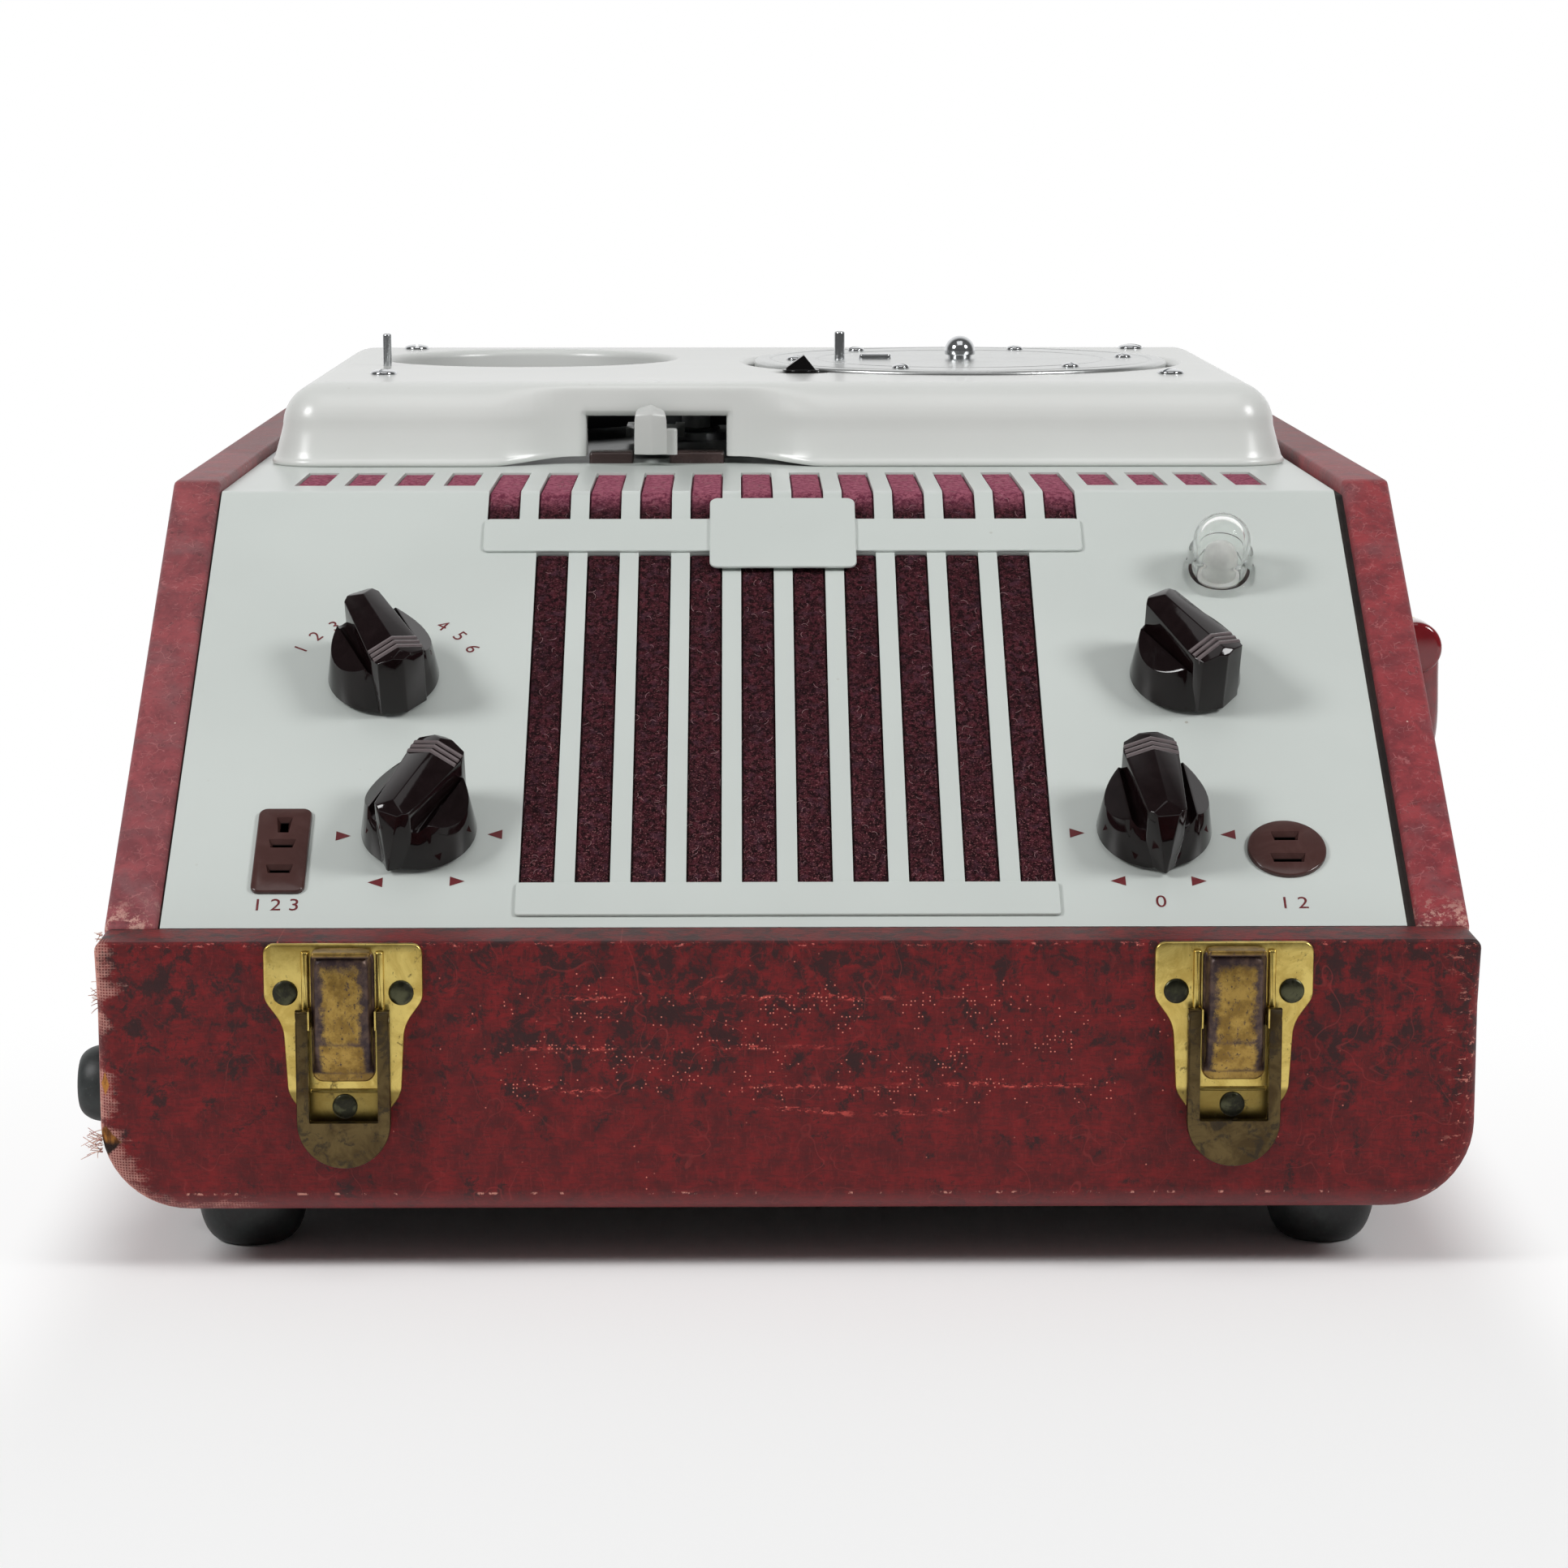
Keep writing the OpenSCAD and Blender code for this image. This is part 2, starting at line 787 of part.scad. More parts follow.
// As many slots as fit between the lower controls, and behind the bend between the support strips
function slot_pairs(half) = floor((half - safe_gap - slot_w / 2 + slot_pitch / 2) / slot_pitch);
function slots_half(count) = (count - 1) / 2 * slot_pitch + slot_w / 2;
low_slots = 2 * slot_pairs(lower_knob_x - control_r - cloth_hem);
high_slots = low_slots + 2;
strip_slots = 2 * slot_pairs(inner_x - cleat_w - strip_hem);
band_w = 2 * (slots_half(high_slots) + trim_edge);
name_w = 2 * (slots_half(low_slots) + trim_edge);

function slot_xs(count) = [for (i = [0 : count - 1]) (i - (count - 1) / 2) * slot_pitch];
knob_places = [[-upper_knob_x, upper_knob_u, 26], [-lower_knob_x, lower_knob_u, 155],
    [upper_knob_x, upper_knob_u, 33], [lower_knob_x, lower_knob_u, -174]];

module slope_slot(x, u0, u1) {
    on_panel(x - slot_w / 2, u0, -bend_r)
        cube([slot_w, u1 - u0, 2 * bend_r]);
}

module strip_slot(x, y0, y1) {
    translate([x - slot_w / 2, y0, bend_z - bend_r])
        cube([slot_w, y1 - y0, 2 * bend_r]);
}

module control_panel() {
    color([0.78, 0.81, 0.79])
        difference() {
            bent_sheet(panel_left, panel_right, 0, sheet_t, plate_y);
            for (x = slot_xs(low_slots))
                slope_slot(x, slot_low, slot_high);
            for (x = slot_xs(high_slots)) {
                slope_slot(x, slot_upper, slope_len + past);
                strip_slot(x, bend_y - past, bend_y + slot_back);
            }
            for (x = slot_xs(strip_slots))
                strip_slot(x, bend_y + strip_front, bend_y + slot_back);
            for (k = knob_places)
                on_panel(k[0], k[1], -past - sheet_t)
                    cylinder(r = control_bush_r + seat_gap, h = sheet_t + 2 * past);
            on_panel(lamp_x, lamp_u, -past - sheet_t)
                cylinder(r = holder_r + seat_gap, h = sheet_t + 2 * past);
            on_panel(socket_x, socket_u, -past - sheet_t)
                cylinder(r = output_r - 1 + seat_gap, h = sheet_t + 2 * past);
            on_panel(-socket_x - 1, socket_u, -past - sheet_t)
                linear_extrude(sheet_t + 2 * past)
                    square([input_w - 2 + 2 * seat_gap, input_h - 2 + 2 * seat_gap], center = true);
        }
}

module grille_trim() {
    color([0.8, 0.83, 0.81]) {
        on_panel(0, (slot_high + slot_upper) / 2)
            linear_extrude(trim_t)
                rounded_square(band_w, slot_upper - slot_high, 1.5);
        on_panel(0, (plate_u0 + plate_u1) / 2, trim_t)
            linear_extrude(trim_t)
                rounded_square(plate_w, plate_u1 - plate_u0, 2);
        on_panel(0, (name_u0 + slot_low) / 2)
            linear_extrude(trim_t)
                rounded_square(name_w, slot_low - name_u0, 1);
    }
}

cloth_half = slots_half(low_slots) + cloth_hem;
cloth_wide = slots_half(high_slots) + cloth_hem;
cloth_strip_half = slots_half(strip_slots) + strip_hem;

module grille_cloth() {
    depth = sheet_t + cloth_t;
    cloth_end = bend_y + slot_back + 6;
    color([0.33, 0.14, 0.2]) {
        bent_sheet(-cloth_half, cloth_half, sheet_t, depth, cloth_end, slot_low - 6);
        bent_sheet(-cloth_wide, cloth_wide, sheet_t, depth, cloth_end, slot_upper - 10);
        translate([-cloth_strip_half, bend_at(depth)[0] + 3, bend_z - depth])
            cube([2 * cloth_strip_half, cloth_end - bend_at(depth)[0] - 3, cloth_t]);
    }
}

speaker_u = (slot_low + slot_high) / 2;
speaker_face = -sheet_t - cloth_t;
rim_t = 2;
shell_t = 1.2;

module speaker_basket() {
    color("dimgray")
        on_panel(0, speaker_u, speaker_face)
            difference() {
                union() {
                    translate([0, 0, -rim_t])
                        difference() {
                            cylinder(r = speaker_r, h = rim_t);
                            translate([0, 0, -past])
                                cylinder(r = speaker_r - 8, h = rim_t + 2 * past);
                        }
                    rotate_extrude()
                        polygon([[speaker_r - 8, 0], [speaker_r - 6, -rim_t], [magnet_r + 2, -basket_d],
                            [0, -basket_d], [0, shell_t - basket_d], [magnet_r, shell_t - basket_d]]);
                }
                for (a = [45 : 90 : 359])
                    rotate(a)
                        translate([magnet_r + 5, -9, 2 - basket_d])
                            cube([speaker_r, 18, basket_d - rim_t - 4]);
            }
}

module speaker_cone() {
    cone_low = 3 - basket_d;
    color("saddlebrown")
        on_panel(0, speaker_u, speaker_face)
            rotate_extrude()
                polygon([[speaker_r - 10, -0.6], [speaker_r - 10, -1.4], [11, cone_low], [0, cone_low + 4],
                    [0, cone_low + 5], [11.5, cone_low + 1]]);
}

module speaker_magnet() {
    color("gray")
        on_panel(0, speaker_u, speaker_face - basket_d - magnet_d)
            cylinder(r = magnet_r, h = magnet_d);
}

// Knobs, shafts and the controls behind the panel

knob_lift = 1.2;
nut_h = 2.2;
nut_r = 6.6;
bush_h = 3.2;
knob_pocket = 4.4;
skirt_h = 8;
can_h = 12;

module at_knob(index) {
    k = knob_places[index];
    on_panel(k[0], k[1])
        rotate(k[2])
            children();
}

// Pointer knob: a tapered skirt, two domed lobes and a roofed bar that points along +Y
module pointer_knob() {
    front = knob_r + 2;
    rear = knob_r + 0.6;
    bar = knob_h;
    difference() {
        union() {
            translate([0, 0, knob_lift])
                cylinder(r1 = knob_r, r2 = knob_r - 1, h = skirt_h - knob_lift);
            rotate_extrude()
                polygon([[0, skirt_h - past], [knob_r - 1.4, skirt_h - past], [knob_r - 1, skirt_h],
                    [knob_r - 3, skirt_h + 3.6], [knob_r - 6.5, skirt_h + 5.6], [0, skirt_h + 5.6]]);
            intersection() {
                translate([0, 0, knob_lift])
                    linear_extrude(bar)
                        polygon([[-5.2, -rear], [5.2, -rear], [6.2, 3 - rear], [4.3, front - 4], [0, front],
                            [-4.3, front - 4], [-6.2, 3 - rear]]);
                along_x(-knob_r, knob_r)
                    polygon([[-rear, knob_lift], [front, knob_lift], [front - 2, bar - 1.6],
                        [front - 5, bar], [3 - rear, bar], [-rear, bar - 3]]);
                along_y(-2 * knob_r, 2 * knob_r)
                    polygon([[-knob_r, 0], [knob_r, 0], [knob_r, bar - 2.6], [0, bar],
                        [-knob_r, bar - 2.6]]);
            }
        }
        cylinder(r = shaft_r + run_gap, h = bar - 4);
        translate([0, 0, -past])
            cylinder(r = nut_r + 1, h = knob_pocket + past);
    }
}

module control_shaft() {
    translate([0, 0, -sheet_t - can_h + 2])
        cylinder(r = shaft_r, h = sheet_t + can_h - 2 + knob_h - 4 - safe_gap);
}

module record_knob() {
    color([0.15, 0.1, 0.1])
        at_knob(0)
            pointer_knob();
}

module volume_knob() {
    color([0.15, 0.1, 0.1])
        at_knob(1)
            pointer_knob();
}

module tone_knob() {
    color([0.15, 0.1, 0.1])
        at_knob(2)
            pointer_knob();
}

module power_knob() {
    color([0.15, 0.1, 0.1])
        at_knob(3)
            pointer_knob();
}

module record_shaft() {
    color("silver")
        at_knob(0)
            control_shaft();
}

module volume_shaft() {
    color("silver")
        at_knob(1)
            control_shaft();
}

module tone_shaft() {
    color("silver")
        at_knob(2)
            control_shaft();
}

module power_shaft() {
    color("silver")
        at_knob(3)
            control_shaft();
}

module control_bodies() {
    color("lightslategray")
        for (i = [0 : 3])
            at_knob(i)
                difference() {
                    union() {
                        translate([0, 0, -sheet_t - can_h])
                            cylinder(r = control_r, h = can_h);
                        translate([0, 0, -sheet_t - past])
                            cylinder(r = control_bush_r, h = sheet_t + past + bush_h);
                    }
                    translate([0, 0, 1.7 - sheet_t - can_h])
                        cylinder(r = shaft_r + run_gap, h = can_h + sheet_t + bush_h);
                }
}

module control_nuts() {
    color("silver")
        for (i = [0 : 3])
            at_knob(i)
                difference() {
                    cylinder(r = nut_r, h = nut_h, $fn = 6);
                    translate([0, 0, -past])
                        cylinder(r = control_bush_r + seat_gap, h = nut_h + 2 * past);
                }
}

// Pilot lamp and sockets

lens_wall = 1.4;
lens_flange = 1.8;
bulb_r = 4.2;
bulb_top = 11;
holder_h = 18;

module lamp_lens() {
    dome_r = lamp_r - 1;
    step_h = lamp_h - dome_r - 3;
    color([0.9, 0.95, 0.95, 0.4])
        on_panel(lamp_x, lamp_u)
            rotate_extrude()
                difference() {
                    union() {
                        square([lamp_r + 0.9, lens_flange]);
                        square([lamp_r, step_h]);
                        square([dome_r, lamp_h - dome_r]);
                        translate([0, lamp_h - dome_r])
                            circle(dome_r);
                    }
                    translate([-2 * lamp_h, -lamp_h])
                        square([2 * lamp_h, 3 * lamp_h]);
                    translate([0, -past])
                        square([dome_r - lens_wall, lamp_h - dome_r + past]);
                    translate([0, lamp_h - dome_r])
                        circle(dome_r - lens_wall);
                }
}

module lamp_bulb() {
    color("lightgray")
        on_panel(lamp_x, lamp_u)
            rotate_extrude()
                intersection() {
                    union() {
                        translate([0, -6])
                            square([bulb_r, 6 + bulb_top - bulb_r]);
                        translate([0, bulb_top - bulb_r])
                            circle(bulb_r);
                    }
                    translate([0, -holder_h])
                        square([2 * bulb_r, 3 * holder_h]);
                }
}

module lamp_holder() {
    color("dimgray")
        on_panel(lamp_x, lamp_u)
            difference() {
                union() {
                    translate([0, 0, -holder_h])
                        cylinder(r = holder_r, h = holder_h);
                    translate([0, 0, -sheet_t - 2])
                        cylinder(r = holder_r + 2, h = 2);
                }
                translate([0, 0, -6])
                    cylinder(r = bulb_r + seat_gap, h = holder_h);
            }
}

module blade_slot(y, w, h) {
    translate([0, y, 1 - socket_depth / 2])
        cube([w, h, socket_depth], center = true);
}

module input_socket() {
    color([0.25, 0.16, 0.17])
        on_panel(-socket_x - 1, socket_u)
            difference() {
                union() {
                    linear_extrude(1)
                        rounded_square(input_w, input_h, 2);
                    translate([0, 0, -socket_depth])
                        linear_extrude(socket_depth + past / 2)
                            square([input_w - 2, input_h - 2], center = true);
                }
                blade_slot(7.4, 2, 4.2);
                blade_slot(1.5, 5, 2.2);
                blade_slot(-6.5, 5, 2.2);
            }
}

module output_socket() {
    color([0.25, 0.16, 0.17])
        on_panel(socket_x, socket_u)
            difference() {
                union() {
                    cylinder(r = output_r, h = 1);
                    translate([0, 0, -socket_depth])
                        cylinder(r = output_r - 1, h = socket_depth + past / 2);
                }
                blade_slot(3.3, 5, 2.2);
                blade_slot(-3.6, 6.5, 2.2);
            }
}

// Reel deck

cover_plan_r = 13;
cover_draft = 3;
scoop_depth = 9.5;
scoop_half = 44;
scoop_h = 17.4;
scoop_arch = 2;
lever_slot_x = control_lever_x + 1.4;
lever_slot_h = 12.4;
drum_gap = 2.5;
bearing_r = 8;
bearing_flange_r = 11;
bearing_drop = 25;
cover_screw_side = 26.8;
cover_screw_front = 44.7;
cover_screw_rear = 21;
cover_head_h = 1.4;
deck_screw_places = [for (sx = [-1, 1], y = [cover_screw_front, deck_d - cover_screw_rear])
    [sx * (deck_w / 2 - cover_screw_side), deck_y + y]];
guide_post_side = 24.8;
guide_post_y = 81;
guide_post_h = 8.9;
guide_post_r = 1.2;
guide_post_at = [guide_post_side - deck_w / 2, deck_y + guide_post_y];
well_lip = 8;
drum_lip = 5;
head_gap = 1.5;

// Idler: half way between the drum's rim and the turntable's, driven by the motor's pulley
reel_line = well_at - drum_at;
reel_way = reel_line / norm(reel_line);
idler_r = (norm(reel_line) - drum_r - table_r) / 2 - idler_gap;
idler_at = drum_at + reel_way * (drum_r + idler_gap + idler_r);
idler_reach = pulley_r + safe_gap + idler_r;
motor_at = idler_at + idler_reach * [-reel_way[1], reel_way[0]];
motor_boss_r = 6;
pivot_at = [control_lever_x, deck_y + lever_pivot_y];
pivot_r = 3;
link_at = pivot_at + [0, 17];
link_r = 1.2;
head_at = drum_at + (drum_r + drum_gap + 4) * [-0.7071, -0.7071];
head_r = 5;
stem_r = 2.5;
head_guide_r = 4.5;

module deck_plate() {
    color("lightgray")
        difference() {
            translate([panel_left, plate_y + safe_gap, deck_z - sheet_t])
                cube([panel_right - panel_left, inner_y - plate_y - 2 * safe_gap, sheet_t]);
            for (p = [drum_at, well_at])
                translate([p[0], p[1], deck_z - 2 * sheet_t])
                    cylinder(r = bearing_r + seat_gap, h = 3 * sheet_t);
            translate([motor_at[0], motor_at[1], deck_z - 2 * sheet_t])
                cylinder(r = motor_boss_r + seat_gap, h = 3 * sheet_t);
            translate([head_at[0], head_at[1], deck_z - 2 * sheet_t])
                cylinder(r = head_guide_r + seat_gap, h = 3 * sheet_t);
        }
    color("lightgray")
        translate([pivot_at[0], pivot_at[1], deck_z - sheet_t / 2]) {
            cylinder(r = pivot_r + 2, h = sheet_t / 2 + lever_bar_z - deck_z - seat_gap);
            cylinder(r = pivot_r, h = sheet_t / 2 + lever_bar_z - deck_z + lever_bar_t + 1);
        }
}

// The cover's pressed form, drawn in by a wall thickness
module cover_form(inset) {
    intersection() {
        hull()
            for (sx = [-1, 1], sy = [-1, 1]) {
                translate([sx * (deck_w / 2 - cover_plan_r),
                    deck_d / 2 + sy * (deck_d / 2 - cover_plan_r), 0])
                    cylinder(r = cover_plan_r - inset, h = 1, $fn = hull_fn);
                translate([sx * (deck_w / 2 - cover_draft - cover_r),
                    deck_d / 2 + sy * (deck_d / 2 - cover_draft - cover_r), deck_h - cover_r])
                    sphere(r = cover_r - inset, $fn = hull_fn);
            }
        translate([-deck_w, -deck_d, 0])
            cube([2 * deck_w, 3 * deck_d, 2 * deck_h]);
    }
}

// Turned-down lip round an opening of the cover
module cover_lip(at, r, drop) {
    translate([at[0], at[1] - deck_y, deck_h - drop])
        difference() {
            cylinder(r = r + cover_t, h = drop);
            translate([0, 0, -past])
                cylinder(r = r, h = drop + 2 * past);
        }
}

// Recess of the front wall round the lever's slot
module cover_scoop(grow) {
    half = lever_slot_w / 2 + 3 + grow;
    translate([lever_slot_x, 0, -past])
        linear_extrude(scoop_h + grow + past)
            polygon([[-scoop_half - 2 * grow, -past], [-half, scoop_depth + grow],
                [half, scoop_depth + grow], [scoop_half + 2 * grow, -past]]);
}

module deck_cover() {
    color([0.85, 0.87, 0.86])
        translate([0, deck_y, deck_z]) {
            difference() {
                cover_form(0);
                difference() {
                    translate([0, 0, -0.001])
                        cover_form(cover_t);
                    cover_scoop(cover_t);
                }
                cover_scoop(0);
                translate([lever_slot_x - lever_slot_w / 2, 0, -past])
                    cube([lever_slot_w, scoop_depth + 3 * cover_t, lever_slot_h + past]);
                translate([lever_slot_x, 0, 0])
                    along_y(-past, scoop_depth + 3 * cover_t)
                        polygon([[-scoop_half, -past], [-scoop_half, 0], [-lever_slot_w / 2 - 3, scoop_arch],
                            [lever_slot_w / 2 + 3, scoop_arch], [scoop_half, 0], [scoop_half, -past]]);
                translate([drum_at[0], drum_at[1] - deck_y, 0])
                    cylinder(r = drum_r + drum_gap, h = 2 * deck_h);
                translate([well_at[0], well_at[1] - deck_y, 0])
                    cylinder(r = well_r, h = 2 * deck_h);
                translate([head_at[0], head_at[1] - deck_y, 0])
                    cylinder(r = head_r + head_gap, h = 2 * deck_h);
                for (p = deck_screw_places)
                    translate([p[0], p[1] - deck_y, 0])
                        cylinder(r = screw_r + seat_gap, h = 2 * deck_h);
                translate([guide_post_at[0], guide_post_at[1] - deck_y, 0])
                    cylinder(r = guide_post_r + seat_gap, h = 2 * deck_h);
            }
            cover_lip(well_at, well_r, well_lip);
            difference() {
                cover_lip(drum_at, drum_r + drum_gap, drum_lip);
                translate([head_at[0], head_at[1] - deck_y, 0])
                    cylinder(r = head_r + head_gap, h = 2 * deck_h);
            }
        }
}

// Cover screws and the thin post that guides the wire
module deck_fittings() {
    color("silver") {
        for (p = deck_screw_places)
            translate([p[0], p[1], deck_z]) {
                cylinder(r = screw_r, h = deck_h);
                translate([0, 0, deck_h])
                    cylinder(r1 = screw_head_r, r2 = screw_head_r - cover_head_h, h = cover_head_h);
            }
        translate([guide_post_at[0], guide_post_at[1], deck_z])
            cylinder(r = guide_post_r, h = deck_h + guide_post_h);
    }
}

table_z = deck_z + 3.2;
table_t = 4;

module supply_turntable() {
    pin_at = 15;
    color([0.16, 0.16, 0.17])
        translate([well_at[0], well_at[1], 0]) {
            difference() {
                union() {
                    translate([0, 0, table_z])
                        cylinder(r = table_r, h = table_t);
                    translate([0, 0, deck_z + 1.7])
                        cylinder(r = bearing_r, h = table_z - deck_z - 1.7 + past);
                }
                translate([0, 0, deck_z])
                    cylinder(r = reel_shaft_r + run_gap, h = deck_h);
            }
            translate([pin_at, 0, table_z + table_t / 2])
                cylinder(r = 1.5, h = table_t / 2 + 3);
        }
}

module supply_spindle() {
    color("silver")
        translate([well_at[0], well_at[1], 0]) {
            translate([0, 0, deck_z - bearing_drop - 2])
                cylinder(r = reel_shaft_r, h = table_z + table_t - deck_z + bearing_drop + 2);
            translate([0, 0, table_z + table_t])
                cylinder(r = spindle_r, h = spindle_len);
        }
}

drum_low = deck_z + 2;
drum_top = deck_z + deck_h + 0.8;
groove = 1.5;

module takeup_drum() {
    top_t = 3;
    rim = 5;
    groove_top = drum_top - 2.2;
    groove_low = groove_top - 4;
    color([0.72, 0.74, 0.74])
        translate([drum_at[0], drum_at[1], 0])
            difference() {
                rotate_extrude()
                    polygon([[reel_shaft_r + run_gap, drum_low], [12, drum_low], [12, drum_top - top_t],
                        [drum_r - rim, drum_top - top_t], [drum_r - rim, drum_low], [drum_r, drum_low],
                        [drum_r, groove_low], [drum_r - groove, groove_low + 1],
                        [drum_r - groove, groove_top - 1], [drum_r, groove_top], [drum_r, drum_top],
                        [reel_shaft_r + run_gap, drum_top]]);
                for (a = drum_screw_angles)
                    rotate(a)
                        translate([drum_screw_pcr, 0, drum_top - top_t - past])
                            cylinder(r = drum_screw_r + seat_gap, h = top_t + 2 * past);
                translate([-drum_peg_at, 0, drum_top - top_t - past])
                    cylinder(r = drum_peg_r + seat_gap, h = top_t + 2 * past);
            }
}

drum_screw_angles = [for (i = [0 : 5]) 7 + 60 * i];
drum_screw_pcr = 47;
drum_screw_r = 1.2;
drum_head_r = 2.4;
drum_head_h = 1.2;
drum_grip = 2.5;
drum_peg_at = 34;
drum_peg_r = 1.5;
drum_peg_h = 7.7;
wire_clip_at = 24;
wire_clip_w = 9;
wire_clip_d = 3.4;
wire_clip_t = 1.4;

// Chrome cap, screws, finger peg and wire clip on top of the drum
module drum_fittings() {
    cap_r = 4.3;
    cap_h = 6.4;
    color("silver")
        translate([drum_at[0], drum_at[1], drum_top]) {
            rotate_extrude() {
                square([cap_r - 1, 1]);
                translate([0, 1])
                    square([cap_r, cap_h - cap_r - 1]);
                intersection() {
                    translate([0, cap_h - cap_r])
                        circle(cap_r);
                    translate([0, 1])
                        square(2 * cap_h);
                }
            }
            for (a = drum_screw_angles)
                rotate(a)
                    translate([drum_screw_pcr, 0, 0]) {
                        cylinder(r1 = drum_head_r, r2 = drum_head_r - 0.8, h = drum_head_h);
                        translate([0, 0, -drum_grip])
                            cylinder(r = drum_screw_r, h = drum_grip + drum_head_h / 2);
                    }
            translate([-drum_peg_at, 0, -drum_grip])
                cylinder(r = drum_peg_r, h = drum_grip + drum_peg_h);
            translate([-wire_clip_at, 0, 0])
                linear_extrude(wire_clip_t)
                    rounded_square(wire_clip_w, wire_clip_d, wire_clip_d / 3);
        }
}

module drum_shaft() {
    color("silver")
        translate([drum_at[0], drum_at[1], deck_z - bearing_drop - 2])
            cylinder(r = reel_shaft_r, h = bearing_drop + 2 + drum_top - deck_z);
}

head_low = deck_z + 2.2 + head_travel;
head_top = deck_z + deck_h + 0.6;
head_cap_h = 4;

// Recording head on its stem, with a three-cornered cap that stands over the deck
module recording_head() {
    stem_drop = 30;
    color([0.12, 0.1, 0.1])
        translate([head_at[0], head_at[1], 0]) {
            translate([0, 0, head_low])
                cylinder(r = head_r, h = head_top - head_low);
            translate([0, 0, head_top - past])
                along_y(-2.6, 2.6)
                    polygon([[-4, 0], [4, 0], [4, past], [0.8, past + head_cap_h], [-4, past + 0.6]]);
            translate([0, 0, deck_z - stem_drop])
                cylinder(r = stem_r, h = head_low - deck_z + stem_drop + past);
        }
}

// Flanged bushes of the two reel shafts and of the recording head's stem
module flanged_bush(at, r, flange_r, drop, bore_r) {
    flange_t = 1.5;
    translate([at[0], at[1], deck_z])
        difference() {
            union() {
                translate([0, 0, -drop])
                    cylinder(r = r, h = drop + flange_t);
                cylinder(r = flange_r, h = flange_t);
            }
            translate([0, 0, -drop - past])
                cylinder(r = bore_r + run_gap, h = drop + flange_t + 2 * past);
        }
}

module deck_bearings() {
    color("peru") {
        for (p = [drum_at, well_at])
            flanged_bush(p, bearing_r, bearing_flange_r, bearing_drop, reel_shaft_r);
        flanged_bush(head_at, head_guide_r, head_guide_r + 1.5, 20, stem_r);
    }
}

// Run and rewind lever: a bar on a pivot post, with a cast grip in front of the slot
lever_bar_z = deck_z + 3;
lever_bar_t = 2.5;
grip_w = 8.4;
grip_h = 12.8;

module control_lever() {
    grip_back = lever_pivot_y - 5.5;
    grip_d = 5;
    link_y = link_at[1] - pivot_at[1];
    fork_half = 5.4;
    color("gainsboro")
        translate([pivot_at[0], pivot_at[1], 0])
            difference() {
                union() {
                    translate([-3, -grip_back - 1, lever_bar_z])
                        cube([6, grip_back + 1, lever_bar_t]);
                    translate([0, 0, lever_bar_z])
                        cylinder(r = pivot_r + 3.5, h = lever_bar_t);
                    translate([-fork_half - 2.5, 0, lever_bar_z])
                        cube([2 * fork_half + 5, link_y + 4, lever_bar_t]);
                    translate([0, -grip_back, deck_z + 3.1])
                        linear_extrude(grip_h)
                            polygon([[-grip_w / 2, 0], [-grip_w / 2, 1.2 - grip_d], [0.8, -grip_d],
                                [grip_w / 2, 1.8 - grip_d], [grip_w / 2, 0]]);
                }
                translate([0, 0, deck_z])
                    cylinder(r = pivot_r + run_gap, h = deck_h);
                // fork that moves the idler arm's pin after some lost motion
                translate([-fork_half, link_y - 5, lever_bar_z - past])
                    cube([2 * fork_half, 12, lever_bar_t + 2 * past]);
            }
}

// Drive: motor hung under the deck plate, its pulley, and an idler wheel on a swinging arm

boss_h = 3;
motor_shaft_r = 2;
idler_z = deck_z + 3.4;
idler_t = 3.6;
idler_axle_r = 2;

module drive_motor() {
    color("darkslategray")
        translate([motor_at[0], motor_at[1], deck_z])
            difference() {
                union() {
                    translate([0, 0, -sheet_t - motor_h])
                        cylinder(r = motor_r, h = motor_h);
                    translate([0, 0, -sheet_t - past])
                        cylinder(r = motor_boss_r, h = sheet_t + past + boss_h);
                }
                translate([0, 0, -sheet_t - 10])
                    cylinder(r = motor_shaft_r + run_gap, h = 2 * deck_h);
            }
}

module motor_pulley() {
    shaft_low = -sheet_t - 9.5;
    color("silver")
        translate([motor_at[0], motor_at[1], deck_z]) {
            translate([0, 0, boss_h + safe_gap])
                cylinder(r = pulley_r, h = 5);
            translate([0, 0, shaft_low])
                cylinder(r = motor_shaft_r, h = boss_h + 1 - shaft_low);
        }
}

module idler_arm() {
    arm_t = 2;
    way = idler_at - motor_at;
    link = link_at - motor_at;
    color("silver")
        translate([motor_at[0], motor_at[1], deck_z + seat_gap])
            difference() {
                union() {
                    cylinder(r = motor_boss_r + 3, h = arm_t);
                    rotate(atan2(way[1], way[0]))
                        translate([0, -3, 0])
                            cube([idler_reach, 6, arm_t]);
                    rotate(atan2(link[1], link[0]))
                        translate([0, -3, 0])
                            cube([norm(link) + 2, 6, arm_t]);
                    translate([link[0], link[1], 0])
                        cylinder(r = link_r, h = lever_bar_z + lever_bar_t - deck_z);
                    translate([way[0], way[1], 0]) {
                        cylinder(r = 4, h = arm_t);
                        cylinder(r = idler_axle_r, h = idler_z + idler_t - deck_z + 1);
                    }
                }
                translate([0, 0, -past])
                    cylinder(r = motor_boss_r + run_gap, h = arm_t + 2 * past);
            }
}

module idler_wheel() {
    color([0.15, 0.15, 0.15])
        translate([idler_at[0], idler_at[1], idler_z])
            difference() {
                union() {
                    cylinder(r = idler_r, h = idler_t);
                    translate([0, 0, 2.3 - idler_z + deck_z])
                        cylinder(r = 3.5, h = idler_t);
                }
                translate([0, 0, -idler_t])
                    cylinder(r = idler_axle_r + run_gap, h = 3 * idler_t);
            }
}

// Amplifier on the case's bottom: pan chassis, valves, mains transformer and capacitors

